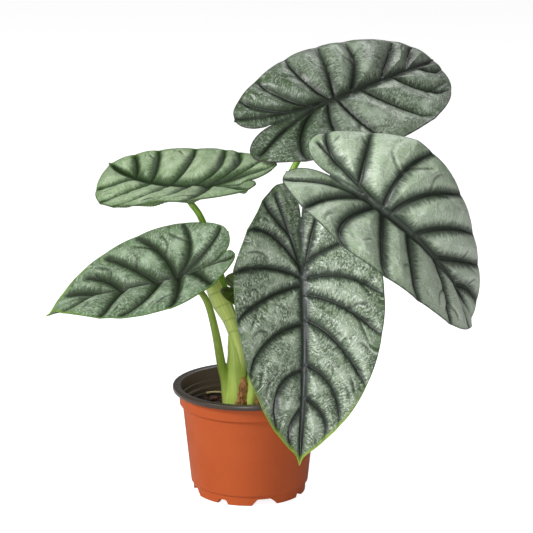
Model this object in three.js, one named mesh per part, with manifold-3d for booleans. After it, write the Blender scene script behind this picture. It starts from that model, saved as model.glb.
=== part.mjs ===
// A potted alocasia: a nursery pot with its mix and root ball, five grown leaves and a young one.
// Millimetres, +Z up. The origin is the centre of the pot's underside; -Y is the front.
import * as THREE from "three";
import { mergeVertices } from "three/addons/utils/BufferGeometryUtils.js";
import Module from "manifold-3d";

const wasm = await Module();
wasm.setup();

const degrees = Math.PI / 180;
const gap = 0.3; // kept between pieces that touch

// ---- driving dimensions ----

const pot = {
  height: 81.5,
  wall: 1.5,
  lipRadius: 57,
  lipHeight: 3.4,
  lipBead: 0.5, // how far the lip's outer edge hangs below its underside
  collarTop: 52.3,
  collarBottom: 51.9,
  collarHeight: 14,
  bodyTop: 49.7,
  bodyBottom: 43.7,
  footRadius: 41.7,
  footHeight: 7.8,
  floorHeight: 5.2,
  floorRaise: 2.6, // how far the floor stands off the ground round the flat disc
  footRing: 4.5, // width of the ring that it stands on
  standRadius: 15, // the flat disc in the middle of the floor
  segments: 48,
};
const floorTop = pot.wall + 1.3; // the upper side of the flat disc
const drain = { count: 8, radius: 4, ring: 30, first: 22.5 };
const footCuts = [
  { count: 4, first: 16, bottomAngle: 26, topAngle: 15, height: 5 },
  { count: 4, first: -28, bottomAngle: 12, topAngle: 8, height: 3.6 },
];
const mix = { top: 63.3, edgeDrop: 1.2 };
// The crown is a short upright rhizome; its profile is radius against height.
const crown = {
  x: -6,
  y: -3,
  top: 64.5,
  profile: [
    [0, 33],
    [7, 34],
    [12, 39],
    [15, 47],
    [16.5, 55],
    [16, 61],
    [15, 64.5],
  ],
};
const roots = { count: 7, from: 42, reach: 30, drop: 27, radius: 1.9, tipRadius: 0.9 };

const bladeThickness = 1.6;
const sectionReach = 0.4; // a blade's half width, as a part of its length
const tip = 1;
const lobeEnd = { along: -0.465, across: 0.11 };
// The margin of one half of a flat blade, from its tip round to the end of its basal lobe.
const margin = [
  [1, 0],
  [0.965, 0.01],
  [0.93, 0.035],
  [0.84, 0.125],
  [0.7, 0.235],
  [0.52, 0.325],
  [0.32, 0.38],
  [0.12, 0.4],
  [-0.08, 0.375],
  [-0.25, 0.31],
  [-0.38, 0.235],
  [-0.45, 0.165],
  [lobeEnd.along, lobeEnd.across],
];

// Each leaf: where its midrib meets its stalk, how it is turned (degrees), the length from there to
// the tip, how the midrib arches and how each half folds and curls (radians), and its stalk. joint
// says where along the midrib the stalk meets the blade.
const leaves = {
  front: {
    at: [39.5, -38, 175.5],
    yaw: -83.5,
    pitch: 65.5,
    roll: -1,
    length: 140,
    width: 1.05,
    arch: 0.22,
    hook: 0.27,
    lobeArch: -0.47,
    sweep: -0.09,
    twist: -0.07,
    left: { fold: 0.17, curl: -0.35, lobeFold: -0.02, lobeCurl: -0.01 },
    right: { fold: 0.35, curl: 0.13, lobeFold: 0.18, lobeCurl: 0.3 },
    tipCurl: 0.23,
    sinus: 0.62,
    stalk: [
      [2, -10.5, 65],
      [7, -10, 95],
      [18, -11, 135],
      [31, -18, 163],
      [38, -30, 174],
    ],
  },
  right: {
    at: [89.5, -69.5, 232.5],
    yaw: 0,
    pitch: 36,
    roll: 60.5,
    length: 139,
    width: 1.07,
    arch: 0.93,
    hook: 0.07,
    lobeArch: 1.13,
    sweep: -0.19,
    twist: -0.45,
    left: { fold: 0.54, curl: -0.92, lobeFold: -0.42, lobeCurl: -0.77 },
    right: { fold: 0.59, curl: -0.13, lobeFold: -0.05, lobeCurl: 0.55 },
    tipCurl: -1.09,
    sinus: 0.6,
    stalk: [
      [6.5, -1, 65],
      [10, 0, 110],
      [24, 0, 160],
      [45, 0, 200],
      [68, -8, 228],
      [82, -32, 238],
      [89, -56, 237],
    ],
  },
  top: {
    at: [58.5, 14, 292.5],
    yaw: 31,
    pitch: -14,
    roll: 61.5,
    length: 153,
    width: 0.875,
    arch: 0.8,
    hook: 0.14,
    lobeArch: 1.05,
    sweep: 0.15,
    twist: -0.11,
    left: { fold: -0.02, curl: -1.09, lobeFold: -0.02, lobeCurl: -0.14 },
    right: { fold: 0.27, curl: 0.29, lobeFold: 0.1, lobeCurl: 0.33 },
    tipCurl: -0.39,
    sinus: 0.68,
    stalk: [
      [2, 8, 65],
      [2.5, 8, 109],
      [7, 10, 150],
      [14, 14, 195],
      [30, 19, 235],
      [45, 20, 263],
    ],
  },
  leftLow: {
    at: [-53, -42.5, 175],
    yaw: 167.5,
    pitch: 21,
    roll: -4,
    length: 108,
    width: 1.03,
    arch: -0.62,
    hook: 0.93,
    lobeArch: -0.69,
    sweep: -0.16,
    twist: 0.13,
    left: { fold: 0.1, curl: -0.74, lobeFold: -0.35, lobeCurl: 0.37 },
    right: { fold: 0.67, curl: 0.16, lobeFold: 0.09, lobeCurl: 0.01 },
    tipCurl: -0.26,
    sinus: 0.82,
    stalk: [
      [-14.5, -8, 65],
      [-17, -10, 85],
      [-20.5, -12, 100],
      [-24, -17, 123],
      [-28.5, -24, 145],
      [-33.5, -31, 158],
      [-42, -37.5, 168],
    ],
  },
  leftHigh: {
    at: [-34.5, -3, 233.5],
    yaw: 141,
    pitch: 10,
    roll: -13,
    length: 128,
    width: 0.975,
    arch: -0.25,
    hook: 0.17,
    lobeArch: -0.14,
    sweep: -0.57,
    twist: -0.25,
    left: { fold: 0.14, curl: -0.02, lobeFold: -0.37, lobeCurl: 0.31 },
    right: { fold: 0.31, curl: -0.38, lobeFold: 0.07, lobeCurl: -0.31 },
    tipCurl: -0.71,
    sinus: 0.74,
    joint: 0.17,
    stalk: [
      [-6.5, 4.5, 65],
      [-6, 4, 106],
      [-8.5, 4, 119],
      [-15, 4, 140],
      [-21.5, 5, 164],
      [-34, 7, 203],
      [-43, 9, 217],
    ],
  },
  young: {
    at: [-5, -22, 158],
    yaw: -5,
    pitch: 20,
    roll: 65,
    length: 32,
    width: 1.35,
    rows: 8,
    arch: 0.3,
    hook: 0.2,
    lobeArch: 0.2,
    sweep: 0,
    twist: 0,
    left: { fold: 0.5, curl: 0.3, lobeFold: 0, lobeCurl: 0 },
    right: { fold: 0.5, curl: 0.3, lobeFold: 0, lobeCurl: 0 },
    tipCurl: 0,
    sinus: 0.62,
    stalk: [
      [-6.5, -4, 65],
      [-7, -5, 95],
      [-5, -10, 130],
      [-5, -19, 149],
    ],
  },
};
const stalkRadius = { base: 4.2, middle: 2.9, top: 2 };
const youngStalk = 0.62; // the young leaf's stalk against the grown ones

// Bracts that stand round the stalks: their middle line, widths along it, and the way they face.
const bracts = {
  pale_sheath: {
    line: [
      [-8, -12.5, 65.2],
      [-7.5, -12, 94],
      [-7.5, -12, 109],
      [-10, -12, 120],
      [-14.5, -12.5, 133],
      [-21, -13.5, 146],
      [-25.5, -15, 157],
      [-30.5, -17, 171],
      [-35, -18, 179],
    ],
    widths: [
      [0, 8.5],
      [0.25, 8],
      [0.5, 8],
      [0.6, 9.5],
      [0.7, 12],
      [0.8, 10.5],
      [0.92, 8],
      [1, 1],
    ],
    facing: [-0.1, -1, 0],
    color: 0x9bad63,
  },
  front_cataphyll: {
    line: [
      [-7.5, -16, 65.2],
      [-7.5, -16.4, 72],
      [-6.5, -16.2, 81],
      [-4.5, -15.3, 90.5],
    ],
    widths: [
      [0, 9],
      [0.5, 9],
      [0.8, 6.5],
      [1, 1],
    ],
    facing: [-0.1, -1, 0],
    color: 0x623e1a,
  },
  side_cataphyll: {
    line: [
      [6, -15.8, 65.2],
      [6.4, -15.8, 72],
      [6, -15.4, 80],
    ],
    widths: [
      [0, 6],
      [0.6, 5],
      [1, 1],
    ],
    facing: [0.35, -0.95, 0],
    color: 0x6b4524,
  },
};
const bractThickness = 0.9;

// Chips of bark on the mix: place, size and turn.
const chips = [
  { x: -36, y: -19, size: [9, 5, 2.4], turn: -54 },
  { x: -27, y: 17, size: [9, 6, 2.6], turn: -40 },
  { x: 22, y: 24, size: [12, 5, 2.4], turn: 65 },
  { x: 30, y: -12, size: [9, 5.5, 2.6], turn: -25 },
  { x: -14, y: -33, size: [10, 4.5, 2.2], turn: 5 },
];
const straw = { from: [-33, 27], to: [-21, 29], bow: 1, radius: 0.8, lift: 1.2 };

// ---- small helpers ----

const vector = (point) => new THREE.Vector3(...point);
const lerp = (from, to, part) => from + (to - from) * part;
const clamp01 = (value) => Math.min(Math.max(value, 0), 1);

function linear(value, points) {
  let step = points.findIndex(([at]) => at > value);
  if (step < 0) step = points.length - 1;
  step = Math.max(step, 1);
  const [fromAt, from] = points[step - 1];
  const [toAt, to] = points[step];
  return lerp(from, to, clamp01((value - fromAt) / (toAt - fromAt)));
}

function finish(name, geometry, color, roughness) {
  const look = new THREE.MeshStandardMaterial({ color, roughness, metalness: 0 });
  geometry.computeVertexNormals();
  const mesh = new THREE.Mesh(geometry, look);
  mesh.name = name;
  return mesh;
}

// Joins shared corners and leaves out collapsed triangles.
function merged(geometry) {
  const bare = new THREE.BufferGeometry();
  bare.setAttribute("position", geometry.getAttribute("position"));
  bare.setIndex(geometry.index);
  const whole = mergeVertices(bare, 1e-3);
  const corners = whole.index.array;
  const kept = [];
  for (let i = 0; i < corners.length; i += 3) {
    const [a, b, c] = [corners[i], corners[i + 1], corners[i + 2]];
    if (a !== b && b !== c && c !== a) kept.push(a, b, c);
  }
  whole.setIndex(kept);
  return whole;
}

function closedGeometry(points, triangles) {
  const geometry = new THREE.BufferGeometry();
  geometry.setAttribute("position", new THREE.Float32BufferAttribute(points.flat(), 3));
  geometry.setIndex(triangles.flat());
  return merged(geometry);
}

function toSolid(geometry) {
  const whole = merged(geometry);
  const vertProperties = new Float32Array(whole.attributes.position.array);
  const triVerts = new Uint32Array(whole.index.array);
  return new wasm.Manifold(new wasm.Mesh({ numProp: 3, vertProperties, triVerts }));
}

function fromSolid(solid) {
  const mesh = solid.getMesh();
  const geometry = new THREE.BufferGeometry();
  const points = new THREE.BufferAttribute(new Float32Array(mesh.vertProperties), 3);
  geometry.setAttribute("position", points);
  geometry.setIndex(new THREE.BufferAttribute(new Uint32Array(mesh.triVerts), 1));
  return geometry;
}

const largest = (solid) => solid.decompose().sort((a, b) => b.volume() - a.volume())[0];

// A closed rod along a smooth curve; radiusAt gives its half width from 0 to 1 along it.
function rod(points, radiusAt, sides, steps) {
  const curve = new THREE.CatmullRomCurve3(points.map(vector));
  const frames = curve.computeFrenetFrames(steps, false);
  const geometry = new THREE.CylinderGeometry(1, 1, 1, sides, steps);
  const position = geometry.getAttribute("position");
  for (let i = 0; i < position.count; i++) {
    const along = 0.5 - position.getY(i);
    const ring = Math.round(along * steps);
    const radius = radiusAt(along);
    const place = curve
      .getPointAt(clamp01(along))
      .addScaledVector(frames.normals[ring], position.getX(i) * radius)
      .addScaledVector(frames.binormals[ring], position.getZ(i) * radius);
    position.setXYZ(i, place.x, place.y, place.z);
  }
  return geometry;
}

// ---- blades ----

const marginCurve = new THREE.CatmullRomCurve3(
  margin.map(([along, across]) => new THREE.Vector3(along, across, 0)),
  false,
  "catmullrom",
  0.5,
);
const marginPoints = marginCurve
  .getPoints(240)
  .map((point) => [-point.x, Math.max(point.y, 0)]);
const outerAcross = (along) => linear(-along, marginPoints);

// The inner edge of a lobe: nothing up to the sinus, then out to the lobe's round end.
function innerAcross(along, sinusAt) {
  const part = clamp01((sinusAt - along) / (sinusAt - lobeEnd.along));
  const round = 1 - Math.sqrt(1 - Math.pow(part, 2.2));
  return lobeEnd.across * (0.9 * round + 0.1 * part);
}

// The midrib of a leaf as a list of stations, each with its place, direction and section axes.
function midrib(leaf) {
  const steps = 150;
  const start = lobeEnd.along - 0.02;
  const stride = (tip + 0.02 - start) / steps;
  const stations = [];
  const place = new THREE.Vector3();
  let previous = null;
  for (let i = 0; i <= steps; i++) {
    const along = start + i * stride;
    const ahead = Math.max(along, 0);
    const heading = along < 0 ? leaf.lobeArch * along : leaf.arch * along + leaf.hook * along * along;
    const turn = leaf.sweep * ahead;
    const direction = new THREE.Vector3(
      Math.cos(heading) * Math.cos(turn),
      Math.cos(heading) * Math.sin(turn),
      -Math.sin(heading),
    );
    if (previous) {
      place.addScaledVector(previous, stride / 2).addScaledVector(direction, stride / 2);
    }
    previous = direction;
    const side = new THREE.Vector3(-direction.y, direction.x, 0).normalize();
    const up = new THREE.Vector3().crossVectors(direction, side);
    side.applyAxisAngle(direction, leaf.twist * along);
    up.applyAxisAngle(direction, leaf.twist * along);
    stations.push({ along, place: place.clone(), side, up });
  }
  const zero = stationAt(stations, 0).place;
  stations.forEach((station) => station.place.sub(zero));
  return stations;
}

function stationAt(stations, along) {
  const stride = stations[1].along - stations[0].along;
  const exact = clamp01((along - stations[0].along) / stride / (stations.length - 1));
  const index = Math.min(Math.floor(exact * (stations.length - 1)), stations.length - 2);
  const part = exact * (stations.length - 1) - index;
  const [a, b] = [stations[index], stations[index + 1]];
  return {
    place: a.place.clone().lerp(b.place, part),
    side: a.side.clone().lerp(b.side, part),
    up: a.up.clone().lerp(b.up, part),
  };
}

// A point of the blade's surface; along runs from lobe to tip, across is positive on the left half.
function bladePoint(leaf, stations, along, across) {
  const { place, side, up } = stationAt(stations, along);
  const half = across < 0 ? leaf.right : leaf.left;
  const lobe = clamp01(-along / 0.46);
  const ahead = clamp01(along);
  const fold = half.fold + half.lobeFold * lobe;
  const curl = half.curl + half.lobeCurl * lobe + leaf.tipCurl * ahead * ahead;
  const rate = Math.abs(curl) < 1e-4 ? 1e-4 / sectionReach : curl / sectionReach;
  const reach = Math.abs(across) * leaf.width;
  const end = fold + rate * reach;
  const out = (Math.sin(end) - Math.sin(fold)) / rate;
  const rise = (Math.cos(fold) - Math.cos(end)) / rate;
  return place
    .addScaledVector(side, Math.sign(across) * out)
    .addScaledVector(up, rise)
    .multiplyScalar(leaf.length);
}

function bladeNormal(leaf, stations, along, across) {
  const nudge = 0.01;
  const forward = bladePoint(leaf, stations, along + nudge, across).sub(
    bladePoint(leaf, stations, along - nudge, across),
  );
  const sideways = bladePoint(leaf, stations, along, across + nudge).sub(
    bladePoint(leaf, stations, along, across - nudge),
  );
  return forward.cross(sideways).normalize();
}

function leafTurn(leaf) {
  const turn = new THREE.Euler(
    leaf.roll * degrees,
    leaf.pitch * degrees,
    leaf.yaw * degrees,
    "ZYX",
  );
  return new THREE.Matrix4().makeRotationFromEuler(turn).setPosition(...leaf.at);
}

// The closed blade: an upper and a lower skin over both halves, joined round the whole margin.
function bladeGeometry(leaf, thickness) {
  const rows = leaf.rows ?? 15;
  const columns = 4;
  const stations = midrib(leaf);
  const sinusAt = leaf.sinus * lobeEnd.along;
  const alongs = [];
  for (let i = 0; i <= rows; i++) {
    const part = (1 - Math.cos((Math.PI * i) / rows)) / 2;
    alongs.push(lerp(tip, sinusAt, part * 0.5 + (0.5 * i) / rows));
  }
  const lobeRows = 4;
  for (let i = 1; i <= lobeRows; i++) {
    const part = Math.sin((Math.PI / 2) * (i / lobeRows));
    alongs.push(lerp(sinusAt, lobeEnd.along, part));
  }
  const points = [];
  const triangles = [];
  for (const hand of [1, -1]) {
    const base = points.length;
    for (const along of alongs) {
      const outer = along >= tip ? 0 : Math.max(outerAcross(along), innerAcross(along, sinusAt));
      const inner = Math.min(innerAcross(along, sinusAt), outer);
      for (let j = 0; j <= columns; j++) {
        const across = hand * lerp(inner, outer, j / columns);
        const middle = bladePoint(leaf, stations, along, across);
        const normal = bladeNormal(leaf, stations, along, across);
        for (const face of [1, -1]) {
          points.push(middle.clone().addScaledVector(normal, (face * thickness) / 2).toArray());
        }
      }
    }
    const at = (row, column, face) => base + (row * (columns + 1) + column) * 2 + face;
    const quad = (a, b, c, d) => {
      const corners = hand > 0 ? [a, b, c, d] : [a, d, c, b];
      triangles.push([corners[0], corners[1], corners[2]], [corners[0], corners[2], corners[3]]);
    };
    for (let row = 0; row < alongs.length - 1; row++) {
      for (let j = 0; j < columns; j++) {
        quad(at(row, j, 0), at(row, j + 1, 0), at(row + 1, j + 1, 0), at(row + 1, j, 0));
        quad(at(row, j, 1), at(row + 1, j, 1), at(row + 1, j + 1, 1), at(row, j + 1, 1));
      }
      quad(at(row, columns, 0), at(row, columns, 1), at(row + 1, columns, 1), at(row + 1, columns, 0));
      if (alongs[row] <= sinusAt + 1e-6) {
        quad(at(row, 0, 0), at(row + 1, 0, 0), at(row + 1, 0, 1), at(row, 0, 1));
      }
    }
  }
  return closedGeometry(points, triangles).applyMatrix4(leafTurn(leaf));
}

// A stalk rises from the crown and ends under the blade, cut to the blade's own lower skin.
function stalkSolid(leaf, scale) {
  const end = bladePoint(leaf, midrib(leaf), leaf.joint ?? 0, 0).applyMatrix4(leafTurn(leaf));
  const points = [...leaf.stalk, end.toArray()];
  const radiusAt = (along) =>
    scale *
    linear(along, [
      [0, stalkRadius.base],
      [0.18, stalkRadius.base],
      [0.45, stalkRadius.middle],
      [1, stalkRadius.top],
    ]);
  const whole = toSolid(rod(points, radiusAt, 8, 15));
  const blade = toSolid(bladeGeometry(leaf, bladeThickness + 2 * gap));
  const below = new THREE.BoxGeometry(200, 200, 60).translate(0, 0, crown.top + gap - 30);
  return largest(whole.subtract(blade).subtract(toSolid(below)));
}

// ---- pot ----

const ring = (angle, radius, height) => [
  radius * Math.sin(angle * degrees),
  -radius * Math.cos(angle * degrees),
  height,
];

// The block that cuts one notch through the pot's foot, wider at the bottom.
function notch(angle, cut) {
  const below = -2;
  const inner = pot.footRadius - 9;
  const outer = pot.footRadius + 6;
  const slope = (cut.bottomAngle - cut.topAngle) / cut.height;
  const lowHalf = (cut.bottomAngle - slope * below) / 2;
  const highHalf = cut.topAngle / 2;
  const points = [];
  for (const [half, height] of [[lowHalf, below], [highHalf, cut.height]]) {
    points.push(ring(angle - half, inner, height));
    points.push(ring(angle - half, outer, height));
    points.push(ring(angle + half, outer, height));
    points.push(ring(angle + half, inner, height));
  }
  const triangles = [
    [0, 2, 1], [0, 3, 2], [4, 5, 6], [4, 6, 7],
    [0, 1, 5], [0, 5, 4], [1, 2, 6], [1, 6, 5],
    [2, 3, 7], [2, 7, 6], [3, 0, 4], [3, 4, 7],
  ];
  return toSolid(closedGeometry(points, triangles));
}

const turned = (points, segments) =>
  new THREE.LatheGeometry(
    points.map(([radius, height]) => new THREE.Vector2(radius, height)),
    segments,
  ).rotateX(Math.PI / 2);

function potGeometry() {
  const lipBottom = pot.height - pot.lipHeight;
  const collarLine = pot.height - pot.collarHeight;
  const stand = pot.standRadius;
  const outside = [
    [0, 0],
    [stand, 0],
    [stand + 2, pot.floorRaise],
    [pot.footRadius - pot.footRing - 1.5, pot.floorRaise],
    [pot.footRadius - pot.footRing, 0],
    [pot.footRadius, 0],
    [pot.footRadius + 0.4, pot.footHeight - 0.8],
    [pot.bodyBottom, pot.footHeight],
    [pot.bodyTop, collarLine - 1],
    [pot.collarBottom, collarLine],
    [pot.collarTop, lipBottom],
    [pot.lipRadius - 1.6, lipBottom],
    [pot.lipRadius - 0.6, lipBottom - pot.lipBead],
    [pot.lipRadius, lipBottom + 1],
    [pot.lipRadius, pot.height - 0.7],
    [pot.lipRadius - 0.8, pot.height],
  ];
  const inside = [
    [pot.collarTop - pot.wall + 0.7, pot.height],
    [pot.collarTop - pot.wall, pot.height - 0.9],
    [pot.collarBottom - pot.wall, collarLine + 1],
    [pot.bodyTop - pot.wall, collarLine - 0.6],
    [pot.bodyBottom - pot.wall, pot.footHeight + 1],
    [pot.footRadius - pot.wall, pot.footHeight],
    [pot.footRadius - pot.wall, pot.floorHeight],
    [stand + 3, pot.floorHeight],
    [stand, floorTop],
    [0, floorTop],
  ];
  let solid = toSolid(turned([...outside, ...inside], pot.segments));
  for (const cut of footCuts) {
    for (let i = 0; i < cut.count; i++) {
      solid = solid.subtract(notch(cut.first + (360 * i) / cut.count, cut));
    }
  }
  for (let i = 0; i < drain.count; i++) {
    const [x, y] = ring(drain.first + (360 * i) / drain.count, drain.ring, 0);
    const hole = new THREE.CylinderGeometry(drain.radius, drain.radius, 30, 16);
    hole.rotateX(Math.PI / 2).translate(x, y, 0);
    solid = solid.subtract(toSolid(hole));
  }
  return fromSolid(largest(solid));
}

// ---- crown, roots and potting mix ----

// The crown with its roots. grow makes it fatter and rise makes it taller, for the mix's hollow.
function rootBall(grow, rise) {
  const side = crown.profile.map(([radius, height], i) => [
    radius === 0 ? 0 : radius + grow,
    height + (i < 2 ? -grow : 0) + (i === crown.profile.length - 1 ? rise : 0),
  ]);
  const body = turned([...side, [0, crown.top + rise]], 20).translate(crown.x, crown.y, 0);
  let solid = toSolid(body);
  for (let i = 0; i < roots.count; i++) {
    const angle = (360 * i) / roots.count + 10;
    const points = [0.2, 0.55, 0.85, 1].map((part, step) => {
      const wander = 14 * Math.sin(i * 2.3 + step);
      const [x, y] = ring(angle + wander, roots.reach * part, roots.from);
      const height = roots.from - roots.drop * part * part;
      return [x + crown.x * (1 - part), y + crown.y * (1 - part), height];
    });
    const radiusAt = (part) => lerp(roots.radius, roots.tipRadius, part) + grow;
    solid = solid.add(toSolid(rod(points, radiusAt, 6, 6)));
  }
  return solid;
}

function mixGeometry() {
  const collarLine = pot.height - pot.collarHeight;
  const bottom = pot.floorHeight + gap;
  const side = pot.wall + gap;
  const slope = (pot.bodyTop - pot.bodyBottom) / (collarLine - 1 - pot.footHeight);
  const edge = pot.bodyBottom + slope * (mix.top - pot.footHeight) - side - 0.4;
  const outline = [
    [0, floorTop + gap],
    [pot.standRadius - 1, floorTop + gap],
    [pot.standRadius + 2.5, bottom],
    [pot.footRadius - side - 0.2, bottom],
    [pot.footRadius - side - 0.2, pot.footHeight + 1],
    [pot.bodyBottom - side - 0.4, pot.footHeight + 2.5],
    [edge, mix.top - mix.edgeDrop],
    [edge * 0.6, mix.top],
    [0, mix.top],
  ];
  return fromSolid(largest(toSolid(turned(outline, pot.segments)).subtract(rootBall(gap, 5))));
}

// ---- sheaths and loose bits ----

// A bract: a bowed strip that follows a line, with its own width at each place along it.
function bractGeometry({ line, widths, facing }) {
  const steps = 8;
  const sections = 4;
  const curve = new THREE.CatmullRomCurve3(line.map(vector));
  const points = [];
  for (let i = 0; i <= steps; i++) {
    const part = i / steps;
    const along = curve.getTangentAt(part);
    const across = new THREE.Vector3().crossVectors(along, vector(facing)).normalize();
    const out = new THREE.Vector3().crossVectors(across, along).normalize();
    const half = linear(part, widths) / 2;
    for (const layer of [0.5, -0.5]) {
      for (let j = 0; j <= sections; j++) {
        const swing = lerp(-1, 1, j / sections);
        const bow = (1 - swing * swing) * half * 0.45;
        const point = curve
          .getPointAt(part)
          .addScaledVector(across, swing * half)
          .addScaledVector(out, bow + layer * bractThickness);
        points.push(point.toArray());
      }
    }
  }
  const at = (row, layer, column) => (row * 2 + layer) * (sections + 1) + column;
  const triangles = [];
  const quad = (a, b, c, d) => triangles.push([a, b, c], [a, c, d]);
  for (let row = 0; row < steps; row++) {
    for (let j = 0; j < sections; j++) {
      quad(at(row, 0, j), at(row, 0, j + 1), at(row + 1, 0, j + 1), at(row + 1, 0, j));
      quad(at(row, 1, j), at(row + 1, 1, j), at(row + 1, 1, j + 1), at(row, 1, j + 1));
    }
    const [left, right] = [0, sections];
    quad(at(row, 0, left), at(row + 1, 0, left), at(row + 1, 1, left), at(row, 1, left));
    quad(at(row, 0, right), at(row, 1, right), at(row + 1, 1, right), at(row + 1, 0, right));
  }
  for (let j = 0; j < sections; j++) {
    quad(at(0, 0, j), at(0, 1, j), at(0, 1, j + 1), at(0, 0, j + 1));
    quad(at(steps, 0, j), at(steps, 0, j + 1), at(steps, 1, j + 1), at(steps, 1, j));
  }
  return closedGeometry(points, triangles);
}

// A rough chip of bark that lies on the mix.
function chipGeometry({ x, y, size, turn }) {
  const geometry = new THREE.IcosahedronGeometry(1, 0);
  geometry.scale(...size.map((side) => side / 2));
  geometry.rotateZ(turn * degrees);
  return geometry.translate(x, y, mix.top + gap + size[2] / 2);
}

function strawGeometry() {
  const height = mix.top + gap + straw.lift;
  const middle = [(straw.from[0] + straw.to[0]) / 2, (straw.from[1] + straw.to[1]) / 2 + straw.bow];
  const points = [straw.from, middle, straw.to].map(([x, y]) => [x, y, height]);
  return rod(points, () => straw.radius, 6, 6);
}

// ---- the model ----

const model = new THREE.Group();
const colors = {
  clay: 0xb95a33,
  earth: 0x33261d,
  rhizome: 0x6b4a32,
  stalk: 0x6f8440,
  bark: 0x5a3d28,
  straw: 0xb49a62,
};
const bladeColors = { grown: 0x8d9b8d, young: 0x3a4724 };

model.add(finish("pot", potGeometry(), colors.clay, 0.6));
model.add(finish("potting_mix", mixGeometry(), colors.earth, 1));
model.add(finish("rhizome", fromSolid(rootBall(0, 0)), colors.rhizome, 0.9));

for (const [name, leaf] of Object.entries(leaves)) {
  const label = name.replace(/[A-Z]/g, (letter) => "_" + letter.toLowerCase());
  const isYoung = name === "young";
  const color = isYoung ? bladeColors.young : bladeColors.grown;
  const stalk = stalkSolid(leaf, isYoung ? youngStalk : 1);
  model.add(finish("blade_" + label, bladeGeometry(leaf, bladeThickness), color, 0.55));
  model.add(finish("petiole_" + label, fromSolid(stalk), colors.stalk, 0.5));
}

for (const [name, bract] of Object.entries(bracts)) {
  model.add(finish(name, bractGeometry(bract), bract.color, 0.8));
}

for (const [i, chip] of chips.entries()) {
  model.add(finish("bark_chip_" + (i + 1), chipGeometry(chip), colors.bark, 0.95));
}
model.add(finish("straw_strand", strawGeometry(), colors.straw, 0.9));

export default model;
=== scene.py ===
import math
import random

import bpy
import numpy as np
from mathutils import Euler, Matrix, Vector, noise


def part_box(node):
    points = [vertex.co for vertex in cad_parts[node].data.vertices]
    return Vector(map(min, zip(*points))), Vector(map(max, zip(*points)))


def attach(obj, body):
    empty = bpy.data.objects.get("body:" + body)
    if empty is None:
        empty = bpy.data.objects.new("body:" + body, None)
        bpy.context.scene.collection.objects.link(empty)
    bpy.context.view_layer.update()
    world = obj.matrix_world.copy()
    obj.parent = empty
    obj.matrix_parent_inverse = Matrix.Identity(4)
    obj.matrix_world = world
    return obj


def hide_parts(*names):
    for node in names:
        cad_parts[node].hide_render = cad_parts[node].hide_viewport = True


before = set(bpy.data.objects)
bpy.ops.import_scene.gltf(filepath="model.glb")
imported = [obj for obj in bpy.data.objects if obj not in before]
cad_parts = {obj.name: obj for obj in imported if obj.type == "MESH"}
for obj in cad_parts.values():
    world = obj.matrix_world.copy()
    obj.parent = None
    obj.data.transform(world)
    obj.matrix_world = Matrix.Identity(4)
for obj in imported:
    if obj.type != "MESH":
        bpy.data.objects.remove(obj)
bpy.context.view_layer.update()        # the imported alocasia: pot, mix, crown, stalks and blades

mm = 0.001
scene = bpy.context.scene

# working helpers


def activate(piece):
    bpy.ops.object.select_all(action="DESELECT")
    piece.select_set(True)
    bpy.context.view_layer.objects.active = piece


def added(operator, **settings):
    # a new primitive, with nothing else selected
    bpy.ops.object.select_all(action="DESELECT")
    operator(**settings)
    return bpy.context.object


def applyModifier(piece, kind, **settings):
    activate(piece)
    modifier = piece.modifiers.new(kind.title(), kind)
    for key, value in settings.items():
        setattr(modifier, key, value)
    bpy.ops.object.modifier_apply(modifier=modifier.name)


def settle(piece):
    # puts the place, turn and size into the mesh
    activate(piece)
    bpy.ops.object.transform_apply(location=True, rotation=True, scale=True)


def joined(pieces, name):
    activate(pieces[0])
    for piece in pieces[1:]:
        piece.select_set(True)
    bpy.ops.object.join()
    pieces[0].name = name
    return pieces[0]


def editAll(piece):
    activate(piece)
    bpy.ops.object.mode_set(mode="EDIT")
    bpy.ops.mesh.select_all(action="SELECT")


def mergeDoubles(piece, distance):
    editAll(piece)
    bpy.ops.mesh.remove_doubles(threshold=distance)
    bpy.ops.object.mode_set(mode="OBJECT")


def closeHoles(piece):
    editAll(piece)
    bpy.ops.mesh.fill_holes(sides=0)
    bpy.ops.mesh.normals_make_consistent(inside=False)
    bpy.ops.object.mode_set(mode="OBJECT")


def smooth(piece, angle=180):
    activate(piece)
    if angle >= 180:
        bpy.ops.object.shade_smooth()
    else:
        bpy.ops.object.shade_smooth_by_angle(angle=math.radians(angle))


def vectorsOf(items, field):
    values = np.zeros(len(items) * 3)
    items.foreach_get(field, values)
    return values.reshape(-1, 3)


def coordinates(piece):
    return vectorsOf(piece.data.vertices, "co")


def moveVertices(piece, points):
    piece.data.vertices.foreach_set("co", np.asarray(points, float).ravel())
    piece.data.update()


def setAttribute(piece, name, values):
    values = np.asarray(values, float)
    kind = "FLOAT_VECTOR" if values.ndim == 2 else "FLOAT"
    attribute = piece.data.attributes.get(name) or piece.data.attributes.new(name, kind, "POINT")
    attribute.data.foreach_set("vector" if values.ndim == 2 else "value", values.ravel())


def grid(name, rows, columns):
    # a flat grid from 0 to 1 both ways, to be laid out
    piece = added(bpy.ops.mesh.primitive_grid_add, x_subdivisions=rows, y_subdivisions=columns, size=1)
    piece.name = name
    flat = coordinates(piece)
    return piece, flat[:, 0] + 0.5, flat[:, 1] + 0.5


def smoothStep(low, high, value):
    part = np.clip((value - low) / (high - low), 0, 1)
    return part * part * (3 - 2 * part)


def catmullRom(points, steps=16):
    # a smooth line through the points
    points = np.array(points, float)
    line = []
    for i in range(len(points) - 1):
        before, here = points[max(i - 1, 0)], points[i]
        after, beyond = points[i + 1], points[min(i + 2, len(points) - 1)]
        leave, arrive = (after - before) / 2, (beyond - here) / 2
        t = np.linspace(0, 1, steps, endpoint=False)[:, None]
        line.append((2 * here - 2 * after + leave + arrive) * t ** 3
                    + (3 * after - 3 * here - 2 * leave - arrive) * t ** 2 + leave * t + here)
    line.append(points[-1:])
    return np.vstack(line)


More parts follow.
